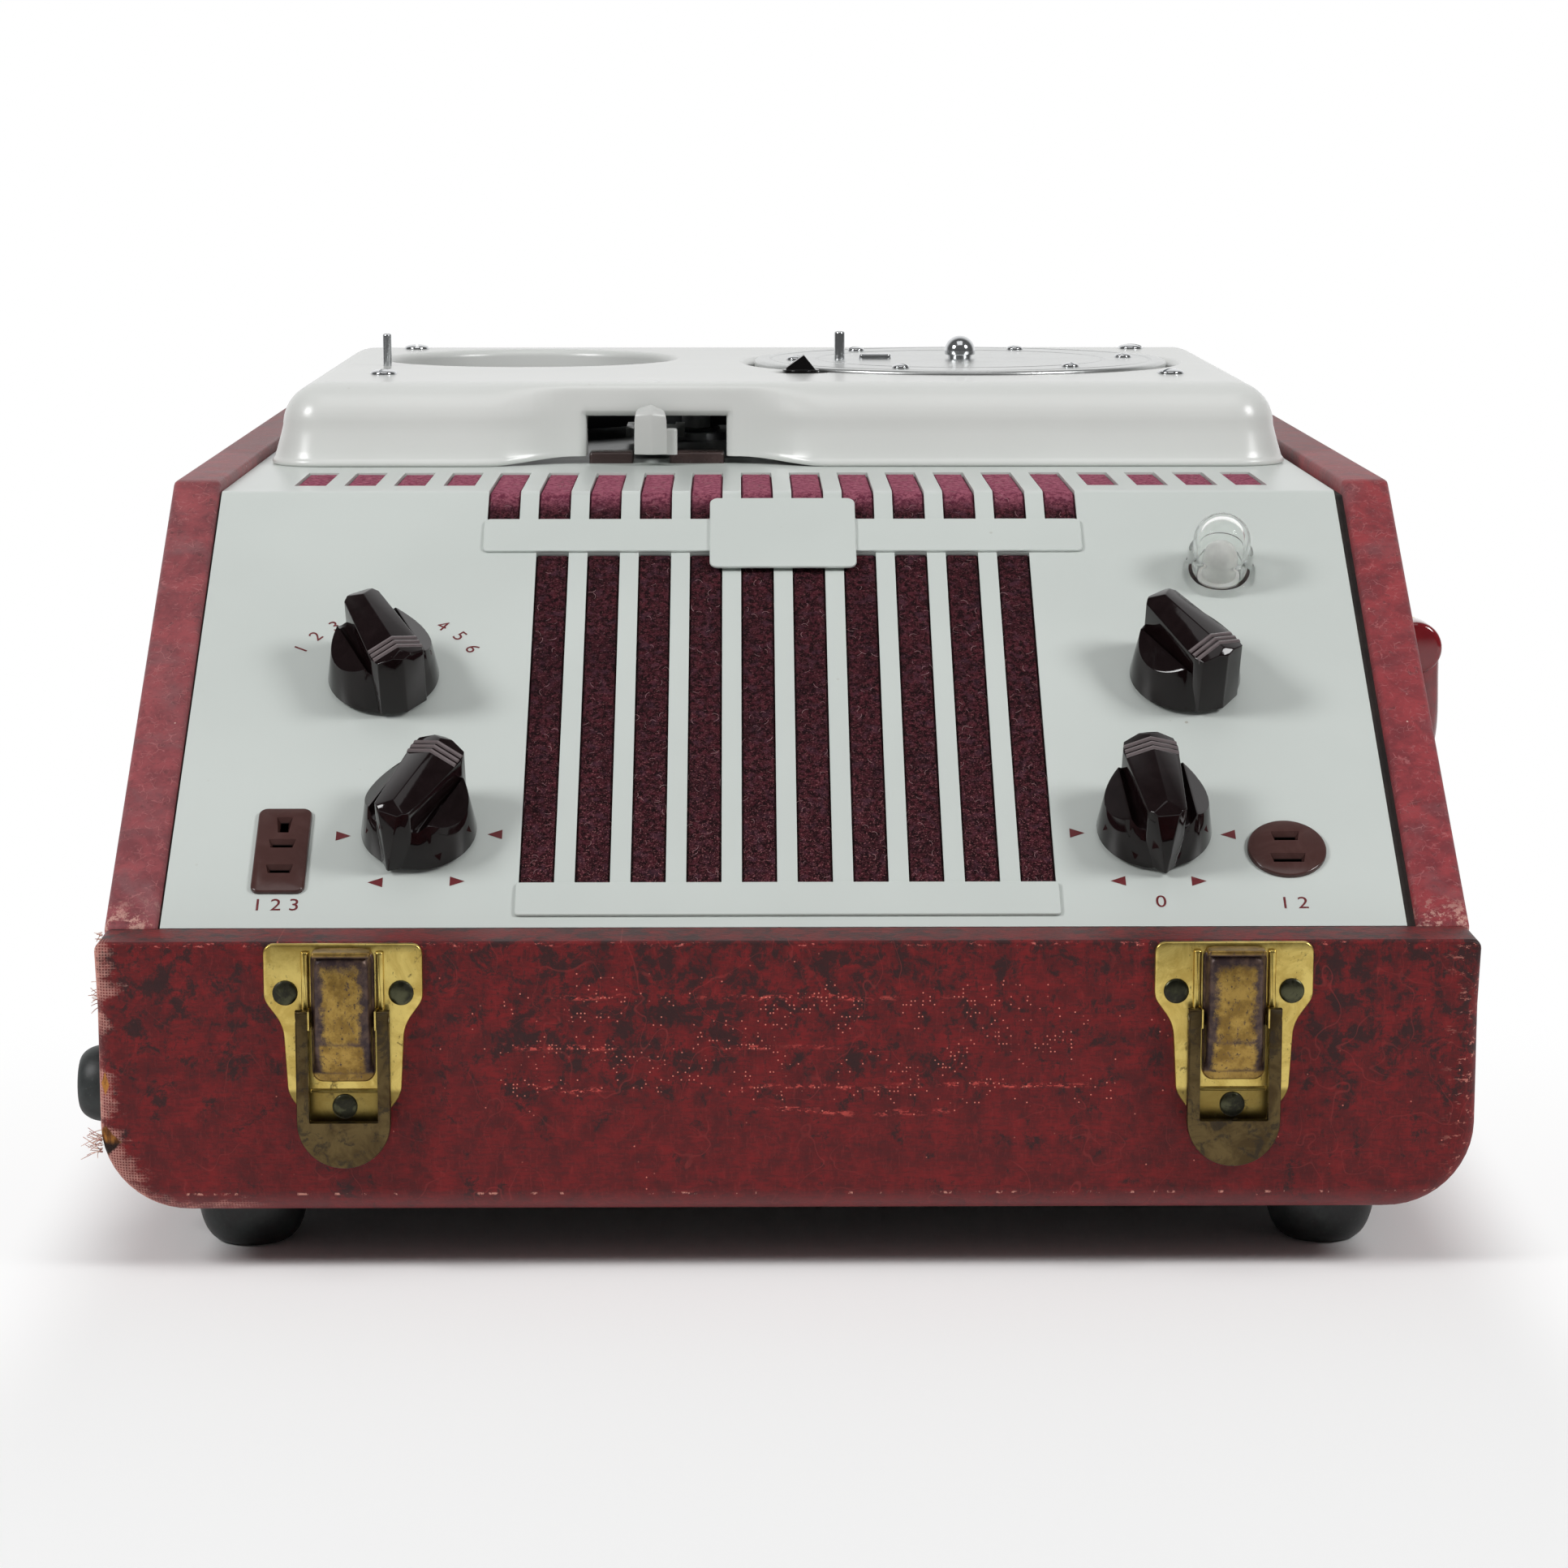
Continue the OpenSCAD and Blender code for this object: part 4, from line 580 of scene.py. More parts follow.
def front_leathercloth():
    f = Finish("front leathercloth")
    x = f.axis("X")
    z = f.axis("Z")
    patch = f.cloud(34, 3, 0.6, warp=0.4)
    mottle = f.cloud(6, 5, 0.7)
    thread = f.cloud(0.7, 3, 0.7, along=(0.2, 1, 1))
    upright = f.cloud(0.8, 3, 0.7, along=(1, 1, 0.25))
    f.lay(mottle.rise(0.34, 0.66), (86, 22, 25), (122, 27, 30))
    f.over(thread.rise(0.42, 0.66) * 0.55, (70, 26, 28))
    f.over(upright.rise(0.52, 0.7) * 0.35, (134, 44, 42))
    higher = z.rise(18, 60)
    stain = f.cloud(5.5, 5, 0.78, warp=0.3) + patch * 0.3 + higher * 0.1
    f.over(stain.rise(0.72, 0.84) * 0.85, (42, 28, 29))
    hatch = f.cloud(1.5, 4, 0.75, along=(1, 1, 0.5)).rise(0.54, 0.66)
    f.over(hatch * (higher * 0.5 + 0.2), (46, 26, 28))
    faint = f.veins(16, 0.006, warp=0.3) * patch.rise(0.4, 0.6)
    f.over(faint * 0.35, (150, 54, 52))
    middle = abs(x - 4).rise(92, 44)
    band = z.rise(35, 41) * z.rise(68, 61)
    scuff = f.cloud(7, 4, 0.65, along=(0.45, 1, 1)).rise(0.42, 0.62) * middle * band
    wander = f.cloud(26, 2, 0.5) * 6 - 3
    crumbs = f.cloud(1.4, 4, 0.8, along=(0.5, 1, 1)).rise(0.5, 0.6)
    runs = f.cloud(14, 2, 0.5, along=(0.6, 1, 0.2)).rise(0.42, 0.54)
    streak = scuff * 0
    for height, left, right in ((61.6, -56, 40), (50.4, -66, 14), (41.2, -62, 70), (36, -10, 40)):
        line = abs(z + wander - height).rise(0.8, 0.15) * x.rise(left, left + 12) * x.rise(right, right - 12)
        streak = streak.most(line * runs)
    f.over(streak * crumbs * 0.8, (212, 86, 78))
    f.over(weave_dots(f, 0.86, scuff * 0.75 + streak * 0.5) * 0.9, (238, 140, 122))
    # painted reflection: the rounded lower edge is laid paler pink-grey, standing in for the bright floor
    # mirrored in it
    sheen = z.rise(19.8, 16) * 0.36
    f.over(sheen, (132, 76, 78))
    spots = f.cloud(1.6, 4, 0.75, along=(0.5, 1, 1)).rise(0.58, 0.66)
    f.over(abs(z - 72.9).rise(0.6, 0.2) * spots * 0.8, (214, 112, 104))
    broken = f.cloud(2.4, 4, 0.8, along=(0.6, 1, 0.2)).rise(0.56, 0.63)
    f.over(abs(z - 18.3).rise(0.4, 0.1) * broken * 0.8, (222, 156, 140))
    corner = x.rise(139, 146) * f.axis("Y").rise(4.5, 1.5)
    nick = f.cloud(2, 4, 0.8, along=(0.35, 1, 1.1)).rise(0.57, 0.63) * corner
    f.over(nick * 0.8, (208, 132, 118))
    worn, bare = left_wear(f, x, z)
    grid = weave_grid(f, 0.64)
    f.over(worn * (0.14 + grid * 0.5), (222, 164, 152))
    f.over(bare * 0.85, f.mix(spots, (204, 146, 134), (234, 206, 188)))
    tear = torn_corner(f, x, z)
    raw = f.cloud(1.2, 3, along=(1, 1, 0.3)).rise(0.35, 0.65)
    raw = f.mix(raw, (92, 50, 18), (184, 122, 54))
    raw = f.mix((z - 30.4).rise(0.4, -1.4) * z.rise(26, 27.4), raw, (34, 16, 10))
    f.over(tear, raw)
    grain = f.cells(1.1, "SMOOTH_F1") * 0.6 + f.cloud(0.5, 2) * 0.5 + thread * 0.5
    rough = 0.42 + mottle * 0.16 + scuff * 0.1 + worn * 0.3
    bump = f.relief(grain + grid * worn * 0.8 - tear * 4, 0.2, 0.5)
    return f.surface(rough, normal=bump, level=0.26)


def torn_corner(f, x, z):
    """Where the cloth is gone from the left edge and raw wood shows."""
    ragged = f.cloud(2.2, 4, 0.7) * 2.4 - 1.2
    low = (abs(z - 29.8) + abs(x + 146.6) * 0.9 + ragged).rise(3.6, 3)
    high = (abs(z - 42.5) * 0.6 + abs(x + 146.4) * 1.6 + ragged * 0.5).rise(1.7, 1.3)
    return low.most(high) * f.axis("Y").rise(6.5, 5.5)


def side_leathercloth():
    f = Finish("side leathercloth")
    y = f.axis("Y")
    z = f.axis("Z")
    mottle = f.cloud(7, 5, 0.68, warp=0.4)
    # the cloth is laid greyer and paler on the left side than on the right, with more grey patches there
    right = f.axis("X").rise(-30, 30)
    greyer_left = f.mix(mottle.rise(0.34, 0.66), (118, 53, 59), (150, 69, 74))
    redder_right = f.mix(mottle.rise(0.34, 0.66), (116, 36, 44), (150, 50, 56))
    f.lay(right, greyer_left, redder_right)
    dusty = f.cloud(16, 4, 0.65, warp=0.6)
    f.over(dusty.rise(0.48, 0.7) * (0.6 - right * 0.25), (128, 86, 89))
    f.over(f.cloud(4, 4, 0.72).rise(0.57, 0.7) * 0.6, (80, 38, 42))
    shove = f.node("ShaderNodeTexNoise", {}, {"Vector": f.place, "Scale": 0.3, "Detail": 3.0}, "Color")
    bent = f.node("ShaderNodeVectorMath", {"operation": "MULTIPLY_ADD"}, {0: shove, 1: (3,) * 3, 2: f.place})
    lines = f.cells(3.4, "DISTANCE_TO_EDGE", bent).rise(0.04, 0.01) * f.cloud(3, 3, 0.6).rise(0.5, 0.62)
    short = f.cells(1.8, "DISTANCE_TO_EDGE", bent).rise(0.06, 0.01) * f.cloud(2, 3, 0.6).rise(0.5, 0.62)
    lines = lines.most(short * 0.7)
    f.over(lines * 0.36, (200, 124, 124))
    f.over(f.cloud(1.3, 3, 0.7).rise(0.56, 0.68) * 0.35, (86, 36, 42))
    fleck = f.cells(7, "F1").rise(0.05, 0.03) * f.cloud(20, 2).rise(0.5, 0.56)
    f.over(fleck * 0.8, (228, 196, 184))
    torn = y.rise(24, 15) * f.cloud(2.6, 4, 0.8).rise(0.5, 0.6)
    f.over(torn * 0.7, (216, 170, 156))
    # painted shade: the bottom face of the case is laid near black, so that the floor under the case stays
    # dark
    dark = f.mix(mottle, (24, 18, 18), (14, 11, 11))
    f.over(z.rise(CASE_Z + 1.2, CASE_Z + 0.3), dark)
    grain = f.cells(1.2, "SMOOTH_F1") * 0.5 + f.cloud(0.6, 2) * 0.5 - lines * 0.5
    bump = f.relief(grain, 0.22, 0.55)
    return f.surface(0.46 + mottle * 0.14, normal=bump, level=0.45, sheen=0.15, sheen_rough=0.4)


def stained_wood():
    f = Finish("dark stained wood")
    ring = f.cloud(5, 4, 0.6, along=(1, 0.06, 1))
    pore = f.cloud(0.9, 2, 0.6, along=(1, 0.05, 1))
    f.lay(ring.rise(0.35, 0.65), (44, 34, 30), (30, 24, 22))
    f.over(pore.rise(0.62, 0.75) * 0.5, (20, 16, 15))
    return f.surface(0.62 + ring * 0.2, normal=f.relief(pore + ring, 0.15, 0.5))


def satin_enamel(name, seen, gloss, speck=0.6):
    f = Finish(name)
    shade = f.cloud(70, 3, 0.5)
    peel = f.cloud(1.1, 2, 0.5)
    dust = f.cells(9, "F1").rise(0.055, 0.03) * f.cloud(30, 3).rise(0.48, 0.62)
    pale = [min(255, c + 5) for c in seen]
    f.lay(shade.rise(0.3, 0.7), seen, pale)
    f.over(dust * speck, (150, 142, 126))
    bump = f.relief(peel, 0.015, 0.15)
    return f.surface(gloss + shade * 0.02, normal=bump, coat=0.12, coat_rough=0.22)


def grille_fabric():
    f = Finish("grille fabric")
    y = f.axis("Y")
    fuzz = f.cloud(1.2, 5, 0.75)
    tuft = f.cloud(0.42, 3, 0.75)
    hue = f.cloud(2.4, 3, 0.6)
    shade = f.cloud(14, 3, 0.6)
    f.lay(fuzz.rise(0.42, 0.62), (24, 9, 13), (80, 34, 42))
    f.over(hue.rise(0.5, 0.66) * 0.5, (62, 42, 54))
    f.over(shade.rise(0.42, 0.7) * 0.4, (26, 10, 16))
    bright = tuft.rise(0.55, 0.68) * (0.35 + y.rise(90, 20) * 0.45)
    f.over(bright, (170, 110, 112))
    upper = f.mix(fuzz.rise(0.4, 0.62), (146, 66, 92), (206, 122, 144))
    f.over(y.rise(132, 143) * 0.75, upper)
    return f.surface(0.92, normal=f.relief(fuzz * 0.6 + tuft * 0.6, 0.45, 0.8), level=0.1)


def phenolic(name, seen, gloss=0.08, level=0.5):
    """Moulded phenolic resin; what lies below the panel's face is painted near black, as shade."""
    f = Finish(name)
    above = (f.axis("Z") - FRONT_TOP) * math.cos(SLOPE) - (f.axis("Y") - PANEL_Y) * math.sin(SLOPE)
    swirl = f.cloud(7, 4, 0.6, warp=1.5)
    dust = f.cloud(0.45, 3, 0.7).rise(0.68, 0.8)
    paler = [c + 8 for c in seen]
    f.lay(swirl.rise(0.35, 0.75), seen, paler)
    f.over(dust * 0.25, (120, 108, 100))
    # painted shade: below the panel's face the resin is laid near black
    f.over(above.rise(0.2, -0.2), (8, 6, 6))
    scratch = f.cloud(2.4, 5, 0.7, along=(1, 0.14, 0.5)).rise(0.5, 0.8)
    bump = f.relief(f.cloud(1.6, 3), 0.02, 0.3)
    return f.surface(gloss + scratch * 0.1 + dust * 0.25, normal=bump, level=level)


def aged_brass(name, bright, dull, tarnish, worn, low=0.0):
    """Brass plating with dark flecks; a larger worn share is darker, and low darkens a latch's foot."""
    f = Finish(name)
    z = f.axis("Z")
    patch = f.cloud(7, 5, 0.65, warp=0.8)
    fleck = f.cloud(0.8, 4, 0.75)
    stain = f.cloud(3.2, 5, 0.7, warp=0.6)
    f.lay(patch.rise(0.35, 0.65), bright, dull)
    scratch = f.cloud(0.7, 4, 0.7, along=(1, 1, 0.45)).rise(0.62, 0.68) * stain.rise(0.45, 0.6)
    spots = fleck.rise(0.63, 0.7) * stain.rise(0.4, 0.56)
    dark = spots.most(scratch)
    f.over(dark * 0.85, tarnish)
    film = stain.rise(0.66 - worn * 0.36, 0.74 - worn * 0.3)
    f.over(film * (0.5 + worn * 0.4), tarnish)
    f.over(z.rise(42, 40.8) * low, (104, 86, 44))
    rough = 0.32 + film * 0.2 + dark * 0.25
    bump = f.relief(fleck * 0.6 + stain, 0.05, 0.4)
    return f.surface(rough, metal=1 - (film * 0.35 + dark * 0.4), normal=bump)


def worn_cap():
    """A dark lacquered latch cap that is rubbed to gold over its middle."""
    f = Finish("rubbed latch cap")
    x = abs(f.axis("X")) - LATCH_X
    z = f.axis("Z") - FRONT_TOP
    ragged = f.cloud(2.6, 5, 0.75) * 5 - 2.5
    fleck = f.cloud(0.7, 4, 0.75, along=(1, 1, 0.6))
    face = (abs(x) + ragged).rise(4.6, 3.2) * (abs(z + 13) + ragged).rise(9, 7)
    slope = (abs(x) + ragged * 0.6).rise(5.2, 4) * (abs(z + 24.6) + ragged * 0.7).rise(4, 2.6)
    # worn gold and painted highlight: the top rim and the foot lip are laid gold, both as rubbed metal and as
    # highlights on those edges
    rim = z.rise(-2.3, -1.5).most(z.rise(-27.6, -28.4))
    gold = face.most(slope).most(rim * 0.9)
    gold = gold * fleck.rise(0.66, 0.56)
    metal = f.mix(f.cloud(4, 4, 0.65).rise(0.35, 0.65), (178, 146, 78), (132, 104, 54))
    lacquer = f.mix(f.cloud(3, 4, 0.65).rise(0.4, 0.65), (54, 40, 42), (92, 72, 62))
    f.lay(gold, lacquer, metal)
    bump = f.relief(fleck + gold * 0.5, 0.05, 0.4)
    return f.surface(0.3 + fleck * 0.15, metal=0.45 + gold * 0.5, normal=bump)


def bare_metal(name, seen, gloss, grain=(1, 1, 1), stain=0.25):
    f = Finish(name)
    brushed = f.cloud(0.8, 4, 0.65, along=grain)
    cast = f.cloud(12, 4, 0.6)
    darker = [c * 0.72 for c in seen]
    f.lay(cast.rise(0.4, 0.72) * stain, seen, darker)
    f.over(brushed.rise(0.5, 0.75) * 0.25, darker)
    return f.surface(gloss + brushed * 0.12, metal=0.95, normal=f.relief(brushed, 0.03, 0.35))


def black_rubber():
    f = Finish("black rubber")
    bloom = f.cloud(8, 4, 0.65)
    dust = f.cloud(0.7, 4, 0.7)
    f.lay(bloom.rise(0.4, 0.7), (26, 30, 30), (48, 54, 53))
    f.over(dust.rise(0.6, 0.75) * 0.4, (92, 92, 88))
    return f.surface(0.36 + bloom * 0.25, normal=f.relief(dust, 0.06, 0.5))


def red_plastic():
    f = Finish("polished red plastic")
    swirl = f.cloud(14, 4, 0.6, along=(1, 0.25, 1), warp=0.8)
    f.lay(swirl.rise(0.35, 0.7), (96, 14, 22), (128, 26, 34))
    scuff = f.cloud(3, 5, 0.7).rise(0.55, 0.75)
    return f.surface(0.1 + scuff * 0.12, normal=f.relief(f.cloud(5, 2), 0.04, 0.3), coat=0.5)


def clear_plastic(name, seen):
    f = Finish(name)
    haze = f.cloud(3, 4, 0.65)
    f.lay(haze.rise(0.45, 0.7) * 0.4, seen, [c * 0.94 for c in seen])
    return f.surface(0.03 + haze * 0.05, glass=1.0, bend=1.16, normal=f.relief(haze, 0.03, 0.2))


def plain_paint(name, seen, gloss=0.45):
    f = Finish(name)
    patch = f.cloud(15, 4, 0.6)
    grit = f.cloud(0.8, 3, 0.6)
    f.lay(patch.rise(0.35, 0.7), seen, [c * 0.82 for c in seen])
    return f.surface(gloss + patch * 0.15, normal=f.relief(grit, 0.06, 0.5))


def printed_ink():
    f = Finish("dark red ink")
    wear = f.cloud(1.3, 3, 0.7)
    f.lay(wear.rise(0.5, 0.75) * 0.4, (104, 26, 32), (146, 78, 80))
    return f.surface(0.45 + wear * 0.2)


def frayed_thread():
    f = Finish("frayed thread")
    strand = f.cloud(1.5, 3, 0.7)
    f.lay(strand.rise(0.4, 0.65), (226, 196, 182), (186, 120, 112))
    return f.surface(0.85 + strand * 0.1)


FRONT_CLOTH = front_leathercloth()
SIDE_CLOTH = side_leathercloth()
STAINED_WOOD = stained_wood()
PANEL_PAINT = satin_enamel("grey-green enamel", (201, 207, 203), 0.3)
DECK_PAINT = satin_enamel("light grey enamel", (216, 218, 215), 0.26, 0.3)
FABRIC = grille_fabric()
KNOB_BLACK = phenolic("polished dark phenolic", (20, 11, 12), 0.06, 0.34)
# painted highlight: the ribs are laid pale grey to stand in for the lamps' glints on them
RIB_PAINTED_HIGHLIGHT = phenolic("rubbed dark phenolic", (104, 94, 95), 0.14)
SOCKET_BROWN = phenolic("brown phenolic", (70, 44, 41), 0.17)
STOP_BROWN = plain_paint("dull brown phenolic", (78, 62, 60), 0.2)
PLATE_BRASS = aged_brass("brass plate", (226, 202, 118), (194, 166, 88), (70, 54, 28), 0.16, 0.75)
LEVER_BRASS = aged_brass("dull lever brass", (104, 88, 58), (76, 62, 42), (44, 35, 24), 0.45)
CAP_BRASS = worn_cap()
RIVET_METAL = aged_brass("darkened rivet metal", (86, 86, 66), (58, 58, 46), (30, 28, 22), 0.5)
STEEL = bare_metal("plated steel", (176, 178, 178), 0.32)
CHROME = bare_metal("polished chrome", (214, 216, 218), 0.06, stain=0.1)
ALUMINIUM = bare_metal("spun aluminium", (206, 208, 207), 0.24, stain=0.15)
BRONZE = bare_metal("oiled bronze", (150, 104, 62), 0.35)
RUBBER = black_rubber()
RED_PLASTIC = red_plastic()
CLEAR = clear_plastic("clear lens", (253, 254, 253))
# painted light: the bulb is laid near white, standing in for the light the lens gathers and mirrors
BULB_PAINTED_BRIGHT = plain_paint("grey bulb glass", (236, 236, 232), 0.12)
VALVE_GLASS = plain_paint("silvered valve glass", (110, 116, 120), 0.12)
TURNTABLE = plain_paint("black felt disc", (34, 34, 36), 0.75)
HEAD_BLACK = phenolic("black head casing", (20, 17, 17), 0.2)
MOTOR_PAINT = plain_paint("black motor paint", (48, 54, 54), 0.4)
SPEAKER_PAINT = plain_paint("grey speaker paint", (96, 98, 98), 0.45)
CONE_PAPER = plain_paint("pressed cone paper", (74, 60, 48), 0.85)
CHASSIS = bare_metal("plated chassis steel", (150, 154, 156), 0.4, (0.2, 1, 1))
INK = printed_ink()
THREAD = frayed_thread()
LINT = plain_paint("pale lint", (172, 132, 136), 0.85)
LEVER_GREY = satin_enamel("cast lever enamel", (198, 200, 197), 0.3, 0.2)


# Repeated heads and fibres, set out by Geometry Nodes


class Layout(Nodes):
    """A Geometry Nodes tree with named inputs, run once on a carrier mesh."""

    def __init__(self, name):
        super().__init__(bpy.data.node_groups.new(name, "GeometryNodeTree"))
        self.sockets = {}
        self.given = self.tree.nodes.new("NodeGroupInput")
        self.start = self.wanted("Geometry", "NodeSocketGeometry")
        self.tree.interface.new_socket("Geometry", in_out="OUTPUT", socket_type="NodeSocketGeometry")

    def wanted(self, name, kind):
        self.sockets[name] = self.tree.interface.new_socket(name, in_out="INPUT", socket_type=kind)
        return Value(self, self.given.outputs[name])

    def chance(self, kind, inputs, out=0):
        return self.node("FunctionNodeRandomValue", {"data_type": kind}, inputs, out)

    def form_of(self, thing):
        own = {"transform_space": "ORIGINAL"}
        return self.node("GeometryNodeObjectInfo", own, {"Object": thing}, "Geometry")

    def ends_in(self, copies, finish):
        strewn = self.node("GeometryNodeInstanceOnPoints", {}, copies)
        real = self.node("GeometryNodeRealizeInstances", {}, {0: strewn})
        painted = self.node("GeometryNodeSetMaterial", {}, {"Geometry": real, "Material": finish})
        self.node("NodeGroupOutput", {}, {0: painted})

    def run(self, carrier_mesh, **values):
        """The laid out forms, in the carrier's own units."""
        carrier = linked("carrier", carrier_mesh)
        modifier = carrier.modifiers.new("layout", "NODES")
        modifier.node_group = self.tree
        for name, value in values.items():
            modifier[self.sockets[name].identifier] = value
        return taken(carrier)


def head_layout(finish):
    """Sets a head on every point, each turned by its own angle."""
    layout = Layout("set out heads")
    head = layout.wanted("Head", "NodeSocketObject")
    seed = layout.wanted("Seed", "NodeSocketInt")
    turn = layout.chance("FLOAT_VECTOR", {"Min": (0, 0, 0), "Max": (0, 0, 2 * math.pi), "Seed": seed})
    layout.ends_in({"Points": layout.start, "Instance": layout.form_of(head), "Rotation": turn}, finish)
    return layout


def set_out(head, points, finish, seed=1):
    """Copies of a head form at points; the heads look along +Z."""
    head_object = held(head, "head")
    carrier = bpy.data.meshes.new("points")
    carrier.from_pydata([Vector(p) for p in points], [], [])
    form = head_layout(finish).run(carrier, Head=head_object, Seed=seed)
    bpy.data.objects.remove(head_object)
    return form


def lint_layout(finish):
    """Scatters short fibres over a cloth."""
    layout = Layout("scatter lint")
    fibre = layout.wanted("Fibre", "NodeSocketObject")
    spread = layout.wanted("Spread", "NodeSocketFloat")
    seed = layout.wanted("Seed", "NodeSocketInt")
    scatter = {"Mesh": layout.start, "Density": spread, "Seed": seed}
    spots = layout.node("GeometryNodeDistributePointsOnFaces", {}, scatter, "Points")
    upright = Value(layout, spots.socket.node.outputs["Rotation"])
    spin = {"Min": (-0.25, -0.25, 0), "Max": (0.25, 0.25, 2 * math.pi), "Seed": seed}
    spin = layout.chance("FLOAT_VECTOR", spin)
    turn = layout.node("FunctionNodeRotateRotation", {"rotation_space": "LOCAL"}, {0: upright, 1: spin})
    size = layout.chance("FLOAT", {2: 0.2, 3: 0.8, "Seed": seed}, 1)
    fibres = {"Points": spots, "Instance": layout.form_of(fibre), "Rotation": turn, "Scale": size}
    layout.ends_in(fibres, finish)
    return layout


def strewn_lint(cloth_form, spread, seed):
    path = [(-1.3, 0, 0.1), (-0.5, 0.4, 0.3), (0.4, 0.3, 0.3), (1.3, -0.3, 0.1)]
    fibre = held(tube(path, 0.07, 4), "fibre")
    cloth_mesh = bpy.data.meshes.new("cloth")
    cloth_form.to_mesh(cloth_mesh)
    form = lint_layout(LINT).run(cloth_mesh, Fibre=fibre, Spread=spread, Seed=seed)
    bpy.data.objects.remove(fibre)
    return form


def round_head(r, h, steps=28):
    """A low domed rivet head."""
    dome = [(r * x, h * (0.25 + 0.75 * y)) for x, y in arc(0, 0, 1, 0, 90, 6)]
    return turned([(r, 0)] + dome, steps)


def slotted_head(r, h, slot):
    """A domed screw head with a driver slot."""
    tool = prism(box_outline(3 * r, slot, 0), h * 0.45, 2 * h)
    return carved(joined(round_head(r, h, 32), prism(circle(r, 32), -0.4, 0.001)), tool)


# Case


def covered_board(top, face_y, back_y, side_r, low_r, top_r):
    """A board with cloth drawn round the edges of its outer face."""
    half = CASE_W / 2
    small = 2.0
    high = top - small
    low = CASE_Z + CORNER_R

    def upright(x, angle, steps):
        drop = (high - low) / 12
        return [(x, high - drop * k, 0, angle, top_r + (side_r - top_r) * min(1, k / 4)) for k in steps]

    def corner(x, start, first, last):
        return [(x, low, CORNER_R, start + 7.5 * k, first + (last - first) * k / 12) for k in range(13)]

    rim = [(half - small, high, small, 18 * k, top_r) for k in range(6)]
    rim += [((half - small) * (1 - k / 12), high, small, 90, top_r) for k in range(1, 24)]
    rim += [(small - half, high, small, 90 + 18 * k, top_r) for k in range(6)]
    rim += upright(-half, 180, range(1, 12))
    rim += corner(CORNER_R - half, 180, side_r, low_r)
    rim += [((CORNER_R - half) * (1 - k / 12), CASE_Z, 0, 270, low_r) for k in range(1, 24)]
    rim += corner(half - CORNER_R, 270, low_r, side_r)
    rim += upright(half, 0, range(11, 0, -1))
    way = 1 if back_y > face_y else -1
    rings = []
    for step in range(9):
        turn = math.pi / 2 * step / 8
        ring = []
        for x, z, reach, angle, rounding in rim:
            out = Vector((math.cos(math.radians(angle)), math.sin(math.radians(angle))))
            span = reach - rounding * (1 - math.sin(turn))
            ring.append((x + out.x * span, face_y + way * rounding * (1 - math.cos(turn)), z + out.y * span))
        rings.append(ring)
    rings.append([(x, back_y, z) for x, _, z in rings[-1]])
    return loft(rings)


def case_shell():
    """Side boards, lower corner rails and bottom in one cloth covered trough."""
    half = CASE_W / 2
    low = CASE_Z + CORNER_R
    middle = half - CORNER_R
    tall = SIDE_TOP + 20
    inside = arc(0, 0, 1, 360, 270, 12)
    inside = [(middle + (INNER_X - middle) * x, low + (CORNER_R - WALL) * z) for x, z in inside]
    outline = [(-half, tall)] + arc(-middle, low, CORNER_R, 180, 270, 12)
    outline += arc(middle, low, CORNER_R, 270, 360, 12) + [(half, tall), (INNER_X, tall)] + inside
    outline += [(-x, z) for x, z in reversed(inside)] + [(-INNER_X, tall)]
    form = loft([[(x, y, z) for x, z in outline] for y in (FRONT_T, INNER_Y)])
    rise = Vector((0, -math.sin(SLOPE), math.cos(SLOPE)))
    cut(form, (0, PANEL_Y, FRONT_TOP + 0.8 / math.cos(SLOPE)), rise)
    cut(form, (0, 0, SIDE_TOP), (0, 0, 1))
    return eased(form, 1.3, 3, 30)


def frayed_tufts():
    """Loose threads at the worn left edge of the front board."""
    threads = []
    tufts = [(-147.6, 2.6, 29.5, 26, 4.6), (-147.8, 4, 61.5, 12, 2.4), (-147, 6, 73.4, 8, 2.4)]
    for number, (x, y, z, count, length) in enumerate(tufts):
        for k in range(count):
            spot = Vector((number * 7.3, k * 1.37, 2.1))
            wander = noise.noise_vector(spot)
            lift = noise.noise_vector(spot + Vector((9.1, 3.3, 5.7)))
            start = Vector((x, y + wander.y * 3, z + wander.z * 4.5))
            way = Vector((-0.75 + lift.x * 0.5, lift.y * 0.9, lift.z * 1.1)).normalized()
            bend = noise.noise_vector(spot + Vector((2.2, 8.8, 1.1))) * 0.9
            reach = length * (0.55 + 0.6 * abs(lift.z))
            path = [start + way * reach * t + bend * reach * t * t for t in (0, 0.25, 0.5, 0.75, 1)]
            threads.append(tube(path, 0.11, 5))
    return joined(*threads)


front_form = covered_board(FRONT_TOP, 0, FRONT_T, 4, 6, 0.9)
add_piece("front_cover", front_form, FRONT_CLOTH, "case", ["front_board"])
case_solids = ["side_boards", "corner_rails", "bottom_board"]
add_piece("case_cover", case_shell(), SIDE_CLOTH, "case", case_solids)
cord_hole = turned([(0, -8), (CORD_HOLE_R, -8), (CORD_HOLE_R, 8), (0, 8)], 48)
moved(cord_hole, shifted(CORD_X, CASE_D - 4, CORD_Z) @ quarter("X"))
rear_form = carved(covered_board(SIDE_TOP, CASE_D, INNER_Y, 3, 4, 1.5), cord_hole)
add_piece("rear_cover", rear_form, SIDE_CLOTH, "case", ["rear_board"])
add_piece("frayed_threads", frayed_tufts(), THREAD)


# Feet, bumpers and handle


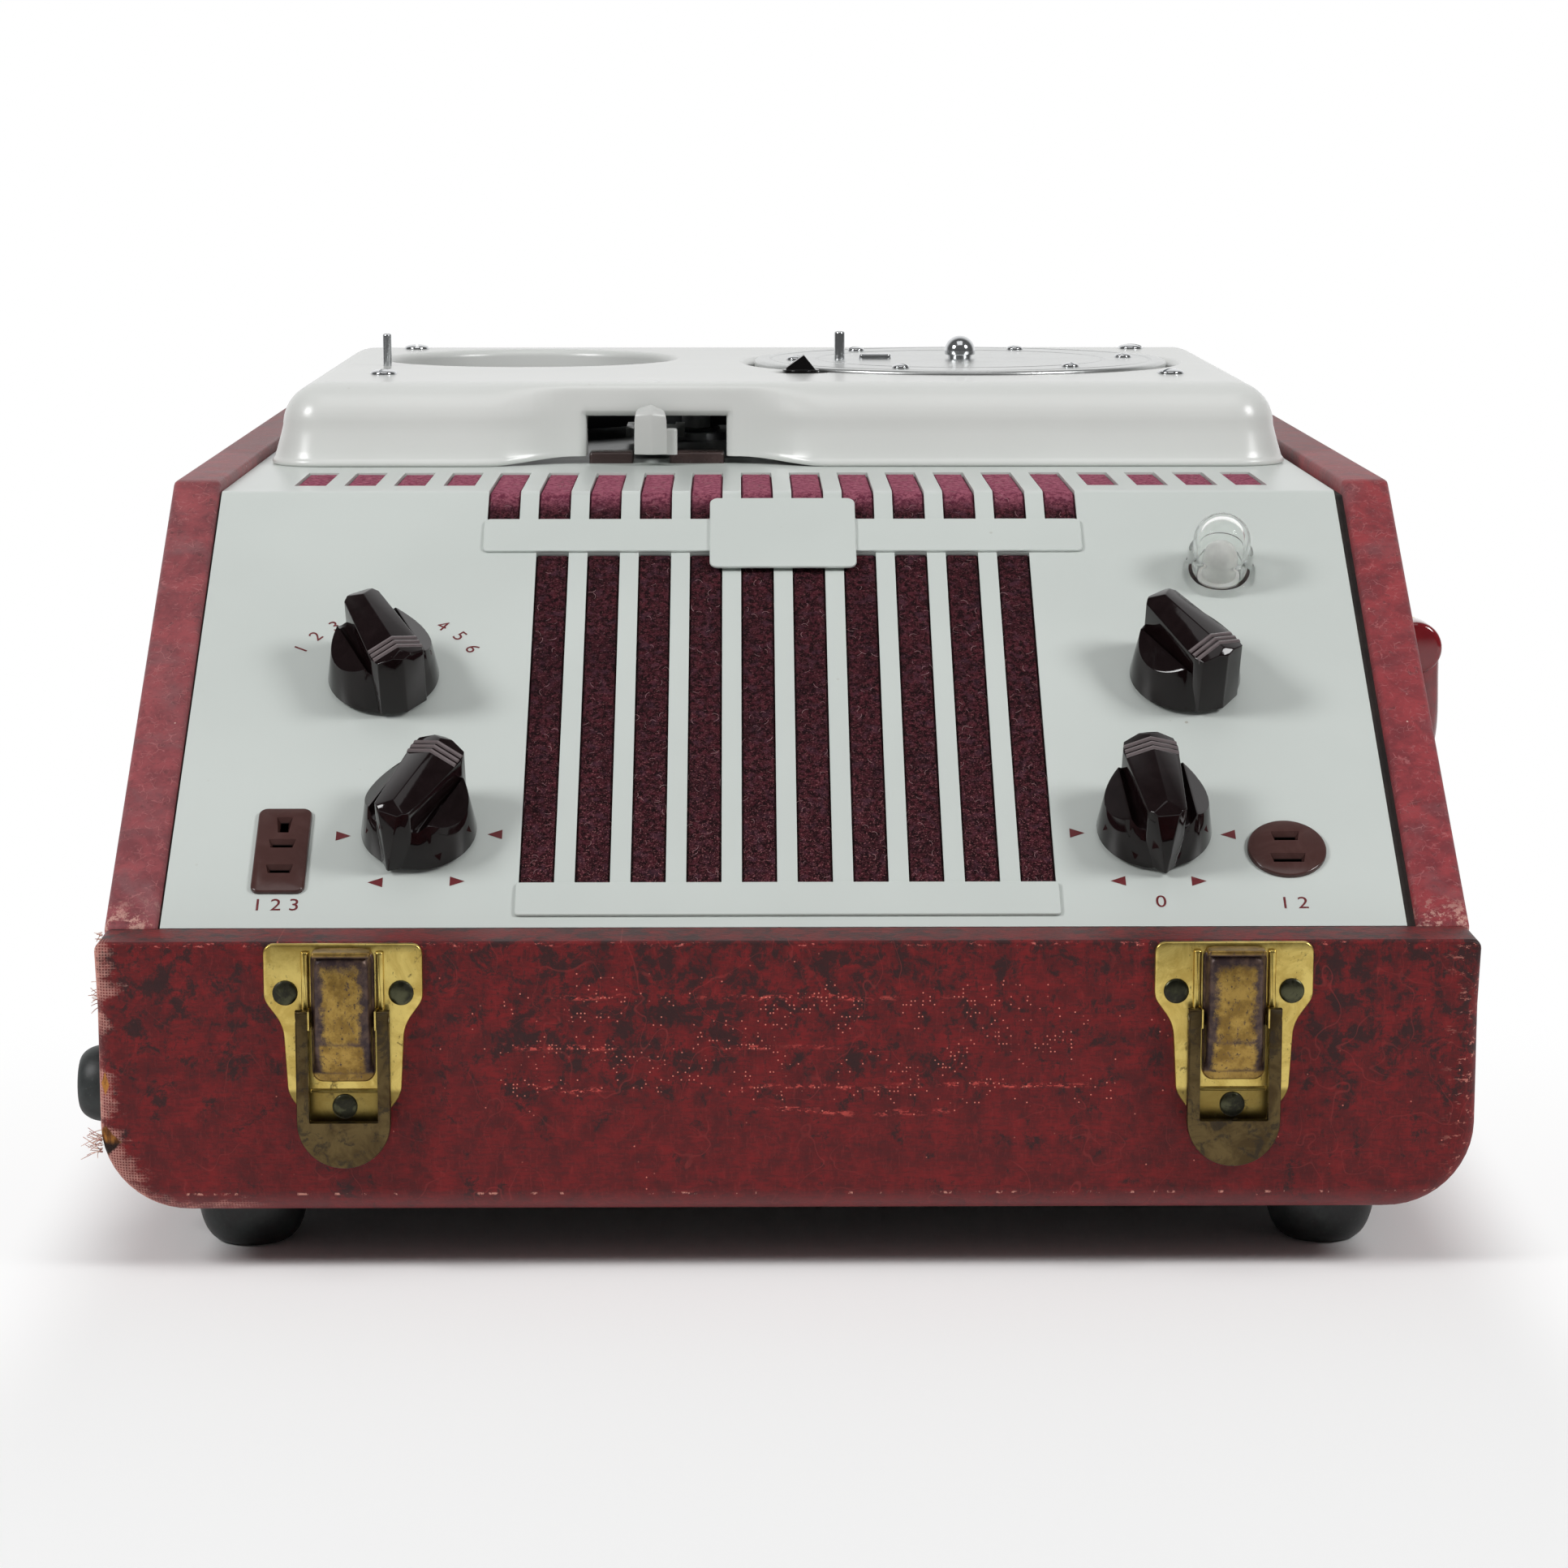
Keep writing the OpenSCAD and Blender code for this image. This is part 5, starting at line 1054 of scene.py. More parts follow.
def rubber_foot(r, h, inset, rise):
    """A turned foot that stands out along +Z, with a screw well in its rounded face."""
    well = min(5, r - inset - 0.7)
    profile = [(0.1, h - 3), (well, h - 3), (well, h - 0.7)] + arc(well + 0.6, h - 0.6, 0.6, 180, 90, 4)
    profile += [(r - inset + inset * x, h - rise + rise * z) for x, z in arc(0, 0, 1, 90, 0, 14)]
    return turned(profile + [(r + 0.1, 1.2), (r - 0.2, 0)], 64)


foot_places = [(sx * FOOT_X, y) for sx in (-1, 1) for y in (FOOT_Y, CASE_D - FOOT_Y)]
down = Matrix.Rotation(math.pi, 4, "X")
feet = [moved(rubber_foot(12, CASE_Z, 5.4, 10), shifted(x, y, CASE_Z) @ down) for x, y in foot_places]
add_piece("standing_feet", joined(*feet), RUBBER, "case", ["rubber_feet"])
leftward = Matrix.Rotation(-math.pi / 2, 4, "Y")
bumpers = []
for y, z in BUMPER_PLACES:
    bumpers.append(moved(rubber_foot(8.5, 8, 3.6, 5.5), shifted(-CASE_W / 2, y, z) @ leftward))
add_piece("carry_bumpers", joined(*bumpers), RUBBER, "case", ["side_bumpers"])


def carry_handle():
    """A moulded bow: two arms with round eyes and a thicker grip between them."""
    arm = 6.5
    bend = 12
    near = HANDLE_Y[0] + arm
    far = HANDLE_Y[1] - arm
    low = HANDLE_Z - 26
    path = [(near, HANDLE_Z + 1), (near, HANDLE_Z - 7)]
    path += arc(near + bend, low + bend, bend, 180, 270, 10)
    path += [(near + bend + (far - near - 2 * bend) * k / 12, low) for k in range(1, 12)]
    path += arc(far - bend, low + bend, bend, 270, 360, 10)
    path += [(far, HANDLE_Z - 7), (far, HANDLE_Z + 1)]
    rings = []
    for i, (y, z) in enumerate(path):
        back = path[max(i - 1, 0)]
        ahead = path[min(i + 1, len(path) - 1)]
        way = Vector((ahead[0] - back[0], ahead[1] - back[1])).normalized()
        grip = min(1, max(0, (HANDLE_Z - 4 - z) / 20))
        thick = 5.4 + 0.6 * grip
        wide = arm + 0.3 * grip
        ring = []
        for a in turns(28):
            c = math.copysign(abs(math.cos(a)) ** 0.8, math.cos(a))
            s = math.copysign(abs(math.sin(a)) ** 0.8, math.sin(a))
            ring.append((HANDLE_X + wide * c, y - way.y * thick * s, z + way.x * thick * s))
        rings.append(ring)
    parts = [loft(rings)]
    profile = [(0, -arm), (3, -arm)] + arc(3, -3, 3.5, -90, 0, 8) + arc(5.1, 5.1, 1.4, 0, 90, 5) + [(0, arm)]
    for y in (near, far):
        parts.append(moved(turned(profile, 48), shifted(HANDLE_X, y, HANDLE_Z) @ quarter("X")))
    return joined(*parts)


add_piece("carry_handle", carry_handle(), RED_PLASTIC, "handle", ["handle_grip"])
ears = eased(solid_copy("handle_brackets"), 0.5, 2)
add_piece("handle_ears", ears, PLATE_BRASS, "case", ["handle_brackets"])


# Panel, grille and cloth


def under_panel(x, run, depth):
    """A point below the panel's face; run goes up the slope and on over the flat."""
    if run < SLOPE_LEN:
        return ON_PANEL @ Vector((x, run, -depth))
    return Vector((x, BEND_Y + run - SLOPE_LEN, DECK_Z - depth))


def spaced(low, high, count):
    return [low + (high - low) * k / count for k in range(count)]


def slot_inset(x, run):
    """How far a point lies inside the nearest slot's edge, below 0 outside it."""
    number = math.floor(abs(x) / SLOT_PITCH) + 0.5
    if run < (SLOT_HIGH + SLOT_UPPER) / 2:
        low, high, last = SLOT_LOW, SLOT_HIGH, 4.5
    else:
        low, high, last = SLOT_UPPER, SLOPE_LEN + SLOT_BACK, 9.5
        if number > 5.5:
            low = SLOPE_LEN + STRIP_FRONT
    if number > last:
        return -1
    return min(SLOT_W / 2 - abs(abs(x) - number * SLOT_PITCH), run - low, high - run)


def cloth_depth(x, run):
    """The cloth lies under the sheet and swells a little way into the slots."""
    slack = noise.noise(Vector((x * 0.06, run * 0.06, 1.3))) * 0.12
    return 1.45 + slack - 0.95 * soft_share((slot_inset(x, run) - 0.06) / 0.45)


def stretched_cloth():
    """The cloth behind the slots, narrow below, wider above and widest under the flat."""
    columns = [-CLOTH_HALF, CLOTH_HALF]
    for k in range(-10, 10):
        centre = (k + 0.5) * SLOT_PITCH
        columns += [centre + side for side in (-4.3, -3.83, -3.6, -3.37, -1.7, 0, 1.7, 3.37, 3.6, 3.83, 4.3)]
    columns.sort()
    bend = (SLOPE_LEN - 0.5, SLOPE_LEN + 3)
    runs = spaced(CLOTH_LOW, 128, 44) + spaced(128, bend[0], 9) + spaced(*bend, 3)
    runs += spaced(bend[1], CLOTH_HIGH, 20) + [CLOTH_HIGH]
    for low in (SLOT_LOW, SLOT_UPPER, SLOPE_LEN + STRIP_FRONT):
        runs += [low - 0.4, low + 0.06, low + 0.28, low + 0.52]
    for high in (SLOT_HIGH, SLOPE_LEN + SLOT_BACK):
        runs += [high - 0.52, high - 0.28, high - 0.06, high + 0.4]
    runs.sort()
    form = bmesh.new()
    rows = []
    for run in runs:
        rows.append([form.verts.new(under_panel(x, run, cloth_depth(x, run))) for x in columns])
    for j in range(len(runs) - 1):
        half = 64.9 if runs[j] < 127.9 else 77 if runs[j] < SLOPE_LEN + 2.9 else CLOTH_HALF
        for i in range(len(columns) - 1):
            if abs(columns[i] + columns[i + 1]) / 2 < half:
                form.faces.new((rows[j][i], rows[j][i + 1], rows[j + 1][i + 1], rows[j + 1][i]))
    loose = [v for v in form.verts if not v.link_faces]
    bmesh.ops.delete(form, geom=loose, context="VERTS")
    return form


panel_form = eased(solid_copy("control_panel"), 0.3, 2, 40)
add_piece("front_panel", panel_form, PANEL_PAINT, "case", ["control_panel"], flat=6)
band_form = eased(solid_copy("grille_trim"), 0.3, 3)
add_piece("grille_bands", band_form, PANEL_PAINT, "case", ["grille_trim"], flat=3)
cloth_form = stretched_cloth()
cloth_area = sum(face.calc_area() for face in cloth_form.faces) * 1e-6
lint = add_piece("cloth_lint", strewn_lint(cloth_form, 0.05, 5), LINT)
cloth = add_piece("speaker_cloth", cloth_form, FABRIC, "case", ["grille_cloth"])


# Knobs


def lobe_top(x):
    """Height of a knob's side lobes: a crest, a fall outward and a flute beside the bar."""
    past = abs(x) - LOBE_CREST
    if past >= 0:
        return LOBE_TOP - 0.716 * past
    dip = min(1, -past / 2.1)
    return LOBE_TOP - 1.6 * (1 - (1 - dip) ** 2)


def knob_lobes():
    half = [2.5, 5.15, 5.5, 5.85, 6.2, 6.55, 6.9, 7.25, 7.8, 8.4, 9, 9.6, 10.2, 10.7, 11.1, 11.4, 11.58]
    columns = [-x for x in reversed(half)] + [0] + half
    count = 16
    form = bmesh.new()
    grid = []
    for x in columns:
        top = lobe_top(x)
        reach = math.sqrt(max(0, (KNOB_R - 0.147 * (top - KNOB_FOOT)) ** 2 - x * x))
        grid.append([form.verts.new((x, reach * (2 * k / count - 1), top)) for k in range(count + 1)])
    for left, right in zip(grid, grid[1:]):
        for k in range(count):
            form.faces.new((left[k], right[k], right[k + 1], left[k + 1]))
    rim = [column[0] for column in grid] + grid[-1][1:] + [column[-1] for column in reversed(grid[:-1])]
    rim += list(reversed(grid[0][1:-1]))
    foot = []
    for v in rim:
        out = Vector((v.co.x, v.co.y)).normalized() * KNOB_R
        foot.append(form.verts.new((out.x, out.y, KNOB_FOOT)))
    for k in range(len(rim)):
        j = (k + 1) % len(rim)
        form.faces.new((rim[k], foot[k], foot[j], rim[j]))
    form.faces.new(foot)
    return eased(outward(form), 0.5, 3, 25)


def knob_bar():
    """The pointer bar: wide at its ribbed end, pointed at the other, with a roof-shaped top."""
    foot = [(-5.6, -12.4), (0, -14.2), (5.6, -12.4), (6.2, -9.8)]
    foot += [(4.3, 10.8), (0, 14.8), (-4.3, 10.8), (-6.2, -9.8)]
    form = prism(foot, KNOB_FOOT, 20)
    for side in (-1, 1):
        cut(form, (0, 0, BAR_TOP), (side * BAR_ROOF, 0, 1))
    cut(form, (0, 9.6, BAR_TOP), (0, 1.6, 3))
    cut(form, (0, 12.6, 17), (0, 15.8, 2))
    cut(form, (0, -12.2, BAR_TOP), (0, -2, 3))
    return eased(form, 0.35, 3, 12)


def knob_rib(y):
    """One rib across the bar's roof."""
    w = 5.9
    edge = BAR_TOP - BAR_ROOF * w
    profile = [(-0.6, -0.2), (-0.5, 0.12), (-0.28, 0.36), (0, 0.44), (0.28, 0.36), (0.5, 0.12), (0.6, -0.2)]
    rings = []
    for dy, rise in profile:
        outline = [(-w, edge - 1), (w, edge - 1), (w, edge + rise), (0, BAR_TOP + rise), (-w, edge + rise)]
        rings.append([(x, y + dy, z) for x, z in outline])
    return loft(rings)


for control, (x, u, turn) in KNOBS.items():
    knob = moved(joined(knob_lobes(), knob_bar()), at_panel(x, u, turn))
    ribs = moved(joined(*[knob_rib(y) for y in (-10.6, -9.1, -7.6)]), at_panel(x, u, turn))
    body = control + "_control"
    add_piece(control + "_pointer", knob, KNOB_BLACK, body, [control + "_knob"], 30)
    # the ribs carry the pale phenolic that stands in for their highlights
    add_piece(control + "_ribs", ribs, RIB_PAINTED_HIGHLIGHT, body, smooth=30)


# Latches


def latch_base():
    """A stamped plate with two guides beside the cap and thin ears for the lever's pins."""
    half = [(-16.95, -0.2), (-16.95, -12.4), (-12.9, -18), (-12.1, -33), (-7, -40)]
    corners = half + [(-x, y) for x, y in reversed(half)]
    radii = [2.2, 4.5, 9, 6, 4, 4, 6, 9, 4.5, 2.2]
    forms = [plate(filleted(corners, radii), 0, LATCH_T, 0.45)]
    for side in (-1, 1):
        forms.append(plate(box_outline(1.7, 12.8, 0.5, side * 7.95, -8.1), 1.1, 2.5, 0.6))
        forms.append(plate(box_outline(0.4, 4.2, 0.15, side * 7.07, PIN_Y), 1.1, 5.6, 0.1))
    forms.append(plate(box_outline(14.6, 0.9, 0.3, 0, -32.2), 1.1, 1.7, 0.4))
    return joined(*forms)


def latch_bail():
    """The lever: two straps that end in a round tab, drilled for its pins."""
    outline = [(-10, -14.1)] + arc(0, -38.4, 10, 180, 360, 28) + [(10, -14.1)]
    window = prism(box_outline(14.7, 28.5, 0.3, 0, -24.2), 0, 9)
    bore = moved(prism(circle(0.95, 24), -14, 14), shifted(0, PIN_Y, PIN_Z) @ quarter("Y"))
    return carved(plate(outline, 2.9, 5.1, 0.45), window, bore)


def latch_cap():
    """A drawn cap with sloped sides, a long slope below and a lip at its foot and top."""
    rows = [(1.5, 6.75, -1, -29.9), (2.3, 6.75, -1, -29.9), (2.7, 6.5, -1.2, -29.6)]
    rows += [(2.8, 6.4, -1.3, -28.4), (3.1, 6.3, -1.4, -27.8), (4.6, 6.0, -1.8, -24.4)]
    rows += [(5.5, 5.7, -2.2, -22.3), (5.9, 5.35, -2.7, -21.3), (6.1, 4.8, -3.3, -20.5)]
    rings = []
    for z, half, top, bottom in rows:
        rings.append(level(box_outline(2 * half, top - bottom, 2.4, 0, (top + bottom) / 2), z))
    rim = plate(box_outline(12.4, 1.3, 0.5, 0, -1.7), 2.5, 6.5, 0.5)
    return joined(loft(rings), rim)


plates = []
pins = []
rivet_spots = []
for way, side in ((-1, "left"), (1, "right")):
    here = shifted(way * LATCH_X, 0, FRONT_TOP) @ quarter("X")
    plates.append(moved(latch_base(), here))
    add_piece(side + "_latch_tongue", moved(latch_bail(), here), LEVER_BRASS, side + "_latch_lever",
              ["latch_lever_" + side])
    add_piece(side + "_latch_catch", moved(latch_cap(), here), CAP_BRASS, side + "_latch_hook",
              ["latch_hook_" + side])
    for end in (-1, 1):
        pin = prism(circle(0.8, 20), -1.2, 1.2)
        pins.append(moved(pin, here @ shifted(end * 8.7, PIN_Y, PIN_Z) @ quarter("Y")))
    for x, z in ((-12.35, -10.8), (12.35, -10.8), (0, -35.6)):
        rivet_spots.append((way * LATCH_X + x, FRONT_TOP + z, LATCH_T))
add_piece("latch_bases", joined(*plates), PLATE_BRASS, "case", ["latch_plates"])
add_piece("latch_pivots", joined(*pins), STEEL, "case", ["latch_pins"])
rivets = moved(set_out(round_head(2.7, 0.8), rivet_spots, RIVET_METAL), quarter("X"))
add_piece("latch_rivet_heads", rivets, RIVET_METAL, "case", ["latch_rivets"])


# Lamp and sockets


def lamp_lens_form():
    outer = [(6.35, 0), (8.65, 0), (8.65, 1.3)] + arc(8.15, 1.3, 0.5, 0, 90, 4) + [(7.9, 1.8)]
    outer += [(7.75, 2.1), (7.75, 6.6)] + arc(7.1, 6.6, 0.65, 0, 90, 4) + [(6.75, 7.4), (6.75, 10.25)]
    outer += arc(0, 10.25, 6.75, 8, 90, 12)
    inner = arc(0, 10.25, 5.35, 90, 0, 12) + [(5.35, 0)]
    return turned(outer + inner, 72, closed=True)


def bulb_form():
    collar = [(0, -5.5), (4.1, -5.5), (4.1, -0.2), (5.2, -0.2), (5.2, 0.5), (4.2, 0.7)]
    return turned(collar + arc(0, 5.2, 4.2, 0, 90, 12), 48)


def blade_recess(x, y, w, h):
    """A slot for a plug's blade with sloped sides at its mouth."""
    rings = []
    for grow, rise in ((1, 0.3), (1, -0.02), (0, -1.1), (0, -5)):
        low = (w / 2 + grow * 0.35, -h / 2 - grow * 0.3)
        high = (w / 2 + grow * 0.9, h / 2 + grow * 0.9)
        corners = [(-low[0], low[1]), low, high, (-high[0], high[1])]
        rings.append([(x + px, y + py, SOCKET_FACE + rise) for px, py in corners])
    return loft(rings)


def socket_form(outline, core, slots):
    """A flange with a rounded edge over a narrower body, with slots for a plug."""
    rings = [level(core, -8.5), level(core, 0), level(outline, 0)]
    rings += rounded_edge(outline, SOCKET_FACE, 0.45, 4)
    return carved(loft(rings), *[blade_recess(*slot) for slot in slots])


lens = moved(lamp_lens_form(), at_panel(*LAMP_AT))
add_piece("lamp_jewel", lens, CLEAR, "case", ["lamp_lens"])
# the bulb's near white paint stands in for light gathered in the lens
bulb = moved(bulb_form(), at_panel(*LAMP_AT))
add_piece("neon_bulb", bulb, BULB_PAINTED_BRIGHT, "case", ["lamp_bulb"])
input_slots = [(0, 7.4, 1.7, 3.7), (0, 1.5, 4.2, 1.5), (0, -6.5, 4.2, 1.5)]
oblong = socket_form(box_outline(11.8, 26.4, 2), box_outline(9.8, 24.4, 1), input_slots)
add_piece("oblong_socket", moved(oblong, at_panel(*INPUT_AT)), SOCKET_BROWN, "case", ["input_socket"])
output_slots = [(0, 3.3, 4.5, 1.6), (0, -3.6, 6, 1.6)]
disc = socket_form(circle(8.75), circle(7.75), output_slots)
add_piece("round_socket", moved(disc, at_panel(*OUTPUT_AT)), SOCKET_BROWN, "case", ["output_socket"])


# Printed marks on the panel


def printed(text, height, x, u, turn=0):
    """Plain figures as a flat mesh on the panel."""
    curve = bpy.data.curves.new("figures", "FONT")
    curve.body = text
    curve.size = height * 1.42
    curve.align_x = "CENTER"
    curve.align_y = "BOTTOM_BASELINE"
    return moved(taken(linked("figures", curve)), at_panel(x, u, turn, PRINT_LIFT))


def arrow_mark(x, u, turn):
    form = bmesh.new()
    form.faces.new([form.verts.new(p) for p in ((-1.6, -1.5, 0), (1.7, 0, 0), (-1.6, 1.5, 0))])
    return moved(form, at_panel(x, u, turn, PRINT_LIFT))


ARROWS = [
    (-98.3, 28.7, 0), (-64.7, 29.1, 180), (-90.3, 14, 180), (-72.4, 14.3, 0),
    (64.4, 29.2, 0), (98, 28.6, 180), (72.6, 14, 180), (90.3, 13.9, 0),
]
marks = [arrow_mark(*arrow) for arrow in ARROWS]
marks += [printed("1 2 3", 3.6, -111.5, 5.4), printed("0", 3.6, 81.5, 5.9), printed("1 2", 3.6, 110.5, 5.4)]
for figure, angle in zip("123456", (62, 48, 34, -34, -48, -62)):
    around = Matrix.Rotation(math.radians(angle), 2) @ Vector((0, 21))
    marks.append(printed(figure, 3.4, KNOBS["record"][0] + around.x, KNOBS["record"][1] + around.y, angle))
add_piece("panel_figures", joined(*marks), INK)


# Deck cover


def scoop_share(x):
    """How far the front wall is drawn in beside the lever, 0 to 1."""
    return soft_share(min(x - SCOOP_X[0], SCOOP_X[1] - x) / SCOOP_FALL)


def slot_roll(x, z, r=2.4):
    """Extra depth where the wall rolls into the lever's slot."""
    dx = max(LEVER_SLOT[0] - x, 0, x - LEVER_SLOT[1])
    dz = max(z - SLOT_TOP, 0)
    gap = math.hypot(dx, dz)
    return 0 if gap >= r else r - math.sqrt(r * r - (r - gap) ** 2)


def cover_rows():
    """Insets and heights of the cover's wall, from its beaded foot to the edge of its top."""
    rows = [(0.6, 0), (0.12, 0.3), (0, 0.8), (0.12, 1.3), (0.5, 1.75), (0.8, 2.3)]
    rows += [(1.3, 4), (1.9, 6), (2.5, 8.2)]
    bend = DECK_H - COVER_ROUND
    angles = [math.pi / 2 * k / 14 for k in range(15)]
    angles += [math.asin((SLOT_TOP + over - bend) / COVER_ROUND) for over in (0, 0.35, 0.8, 1.5)]
    for angle in angles:
        rows.append((COVER_PAD - COVER_ROUND * math.cos(angle), bend + COVER_ROUND * math.sin(angle)))
    return sorted(rows, key=lambda row: row[1])


def front_columns():
    edges = [-COVER_SIDE + 2 * COVER_SIDE * k / 60 for k in range(61)]
    for x, way in zip(LEVER_SLOT, (-1, 1)):
        edges += [x + way * d for d in (0, 0.25, 0.6, 1.1, 1.7, 2.4, 4, 6, 8.5, 11, 14, 17, 20, 23)]
    edges.sort()
    return [x for i, x in enumerate(edges) if i == 0 or x - edges[i - 1] > 0.12]


def cover_ring(inset, z, columns):
    """One ring round the cover; its front side follows the scoop and the slot's rolled edge."""
    r = COVER_PAD - inset
    back = DECK_D - COVER_PAD
    deep = back - COVER_PAD
    fade = min(1, soft_share((DECK_H - 2.2 - z) / 6) * 1.4)
    ring = []
    for x in columns:
        share = scoop_share(x)
        drawn = share * (SCOOP_DEPTH - inset + math.hypot(SCOOP_DEPTH - inset, 1.2)) / 2
        lift = SCOOP_ARCH * share * max(0, 1 - z / 9)
        ring.append((x, inset + drawn + slot_roll(x, z) * fade, z + lift))
    rest = arc(COVER_SIDE, COVER_PAD, r, -90, 0, 10)[1:]
    rest += [(COVER_SIDE + r, COVER_PAD + deep * k / 14) for k in range(1, 15)]
    rest += arc(COVER_SIDE, back, r, 0, 90, 10)[1:]
    rest += [(COVER_SIDE - 2 * COVER_SIDE * k / 24, back + r) for k in range(1, 25)]
    rest += arc(-COVER_SIDE, back, r, 90, 180, 10)[1:]
    rest += [(-COVER_SIDE - r, back - deep * k / 14) for k in range(1, 15)]
    rest += arc(-COVER_SIDE, COVER_PAD, r, 180, 270, 10)[1:-1]
    return ring + level(rest, z)


def union_outline(centre, big, other, small):
    """The outline round two circles that overlap, the same count of points at any radii."""
    apart = (other - centre).length
    way = math.atan2((other - centre).y, (other - centre).x)
    half = math.acos((big * big + apart * apart - small * small) / (2 * big * apart))
    turn = math.pi - math.acos((small * small + apart * apart - big * big) / (2 * small * apart))
    points = []
    for middle, r, start, sweep, steps in (
        (centre, big, way + half, 2 * math.pi - 2 * half, 150),
        (other, small, way - turn, 2 * turn, 24),
    ):
        for k in range(steps):
            a = start + sweep * k / steps
            points.append((middle.x + r * math.cos(a), middle.y + r * math.sin(a)))
    return points


def deck_cover_form():
    """The cover with its wall, the rolled rims of the well and the drum, and the walls of the slot."""
    columns = front_columns()
    rows = cover_rows()
    form = bmesh.new()
    grid = [[form.verts.new(p) for p in cover_ring(inset, z, columns)] for inset, z in rows]
    count = len(grid[0])
    in_slot = [LEVER_SLOT[0] - 0.01 < a and b < LEVER_SLOT[1] + 0.01 for a, b in zip(columns, columns[1:])]
    in_slot += [False] * (count - len(in_slot))
    for j in range(len(rows) - 1):
        for i in range(count):
            n = (i + 1) % count
            if not (in_slot[i] and rows[j + 1][1] < SLOT_TOP + 0.01):
                form.faces.new((grid[j][i], grid[j][n], grid[j + 1][n], grid[j + 1][i]))
    bmesh.ops.remove_doubles(form, verts=form.verts, dist=0.0005)
    drum, well, head = [place - Vector((0, DECK_Y)) for place in (DRUM_AT, WELL_AT, HEAD_AT)]

    def well_rim(grow):
        return [(well.x + x, well.y + y) for x, y in circle(WELL_R + grow, 120)]

    def drum_rim(grow):
        return union_outline(drum, DRUM_R + 2.5 + grow, head, 6.5 + grow)

    open_edges = [e for e in form.edges if len(e.link_faces) == 1]
    fill_edges = [e for e in open_edges if all(v.co.z > DECK_H - 0.01 for v in e.verts)]
    rolled = [(2.2, 0), (2.0, 0), (1.6, -0.06), (1.0, -0.3), (0.5, -0.75), (0.15, -1.3), (0, -2)]
    for depth, rim in ((8, well_rim), (5, drum_rim)):
        loops = []
        for grow, z in rolled + [(0, -depth)]:
            loops.append([form.verts.new(p) for p in level(rim(grow), DECK_H + z)])
        skin(form, loops)
        first = loops[0]
        fill_edges += [form.edges.get(ends) for ends in zip(first, first[1:] + first[:1])]
    bmesh.ops.triangle_fill(form, edges=fill_edges, use_beauty=True, use_dissolve=False, normal=(0, 0, 1))

    def by_slot(v):
        return LEVER_SLOT[0] - 0.1 < v.co.x < LEVER_SLOT[1] + 0.1 and v.co.y < 30 and v.co.z < SLOT_TOP + 0.1

    slot_edges = [e for e in form.edges if len(e.link_faces) == 1 and all(by_slot(v) for v in e.verts)]
    slot_edges = [e for e in slot_edges if not all(v.co.z < 0.01 for v in e.verts)]
    made = bmesh.ops.extrude_edge_only(form, edges=slot_edges)
    for v in made["geom"]:
        if isinstance(v, bmesh.types.BMVert):
            v.co.y = SLOT_DEPTH
    return moved(outward(form), ON_DECK)


add_piece("deck_shell", deck_cover_form(), DECK_PAINT, "case", ["deck_cover"], 50, flat=60)
stops = []
for x, w in ((LEVER_X - 10.5, 11.5), (LEVER_X + 11.9, 14.4)):
    stops.append(plate(box_outline(w, 9, 0.8, x, 15.5), 0.05, 2.85, 0.6))
add_piece("lever_stops", moved(joined(*stops), ON_DECK), STOP_BROWN)


# Fittings of the deck


def round_pin(low, high, edge, steps):
    """A turned pin whose top is rounded."""
    tip = arc(1.5 - edge, high - edge, edge, 0, 90, steps)
    return turned([(0, low), (1.5, low)] + tip + [(0, high)], 24)


cover_screws = [(x, DECK_Y + y, DECK_TOP) for x in (-SCREW_X, SCREW_X) for y in SCREW_Y]
screws = set_out(slotted_head(3.6, 1.4, 0.9), cover_screws, CHROME, 3)
post_line = [(0, -DECK_H), (1.2, -DECK_H), (1.2, 8.3)] + arc(0.7, 8.4, 0.5, 0, 90, 4) + [(0, 8.9)]
post = moved(turned(post_line, 24), shifted(*POST_AT, DECK_TOP))
add_piece("deck_screws", joined(screws, post), CHROME, "case", ["deck_fittings"])


def drum_form():
    """A spun drum: a flat top with a shallow ring, a wire groove round it and a hollow below."""
    low = DECK_Z + 2
    top = DRUM_TOP
    groove = top - 4.2
    profile = [(2.6, low), (12, low), (12, top - 3), (53, top - 3), (53, low), (DRUM_R, low)]
    profile += [(DRUM_R, groove - 2), (DRUM_R - 1.2, groove - 1), (DRUM_R - 1.2, groove + 1)]
    profile += [(DRUM_R, groove + 2), (DRUM_R, top - 0.9)] + arc(DRUM_R - 0.9, top - 0.9, 0.9, 0, 90, 5)[1:]
    profile += [(54.2, top), (53.9, top - 0.35), (53.2, top - 0.35), (52.9, top)]
    profile += [(41, top), (40.7, top - 0.3), (40.1, top - 0.3), (39.8, top), (2.6, top)]
    return moved(turned(profile, 128, closed=True), shifted(*DRUM_AT, 0))


def drum_tops():
    """The drum's screws, centre cap, peg and wire clip."""
    heads = set_out(slotted_head(2.4, 1.2, 0.6), level(arc(0, 0, 47, 7, 307, 5), 0), CHROME, 7)
    cap = turned([(0, 0), (3.3, 0), (3.4, 0.9), (4.1, 1.1), (4.3, 1.4)] + arc(0, 2.1, 4.3, 4, 90, 10), 40)
    peg = moved(round_pin(-2.5, 7.7, 0.6, 4), shifted(-34, 0, 0))
    clip = moved(plate(box_outline(9, 3.4, 1.1), 0, 1.4, 0.5), shifted(-24, 0, 0))
    return moved(joined(heads, cap, peg, clip), shifted(*DRUM_AT, DRUM_TOP))


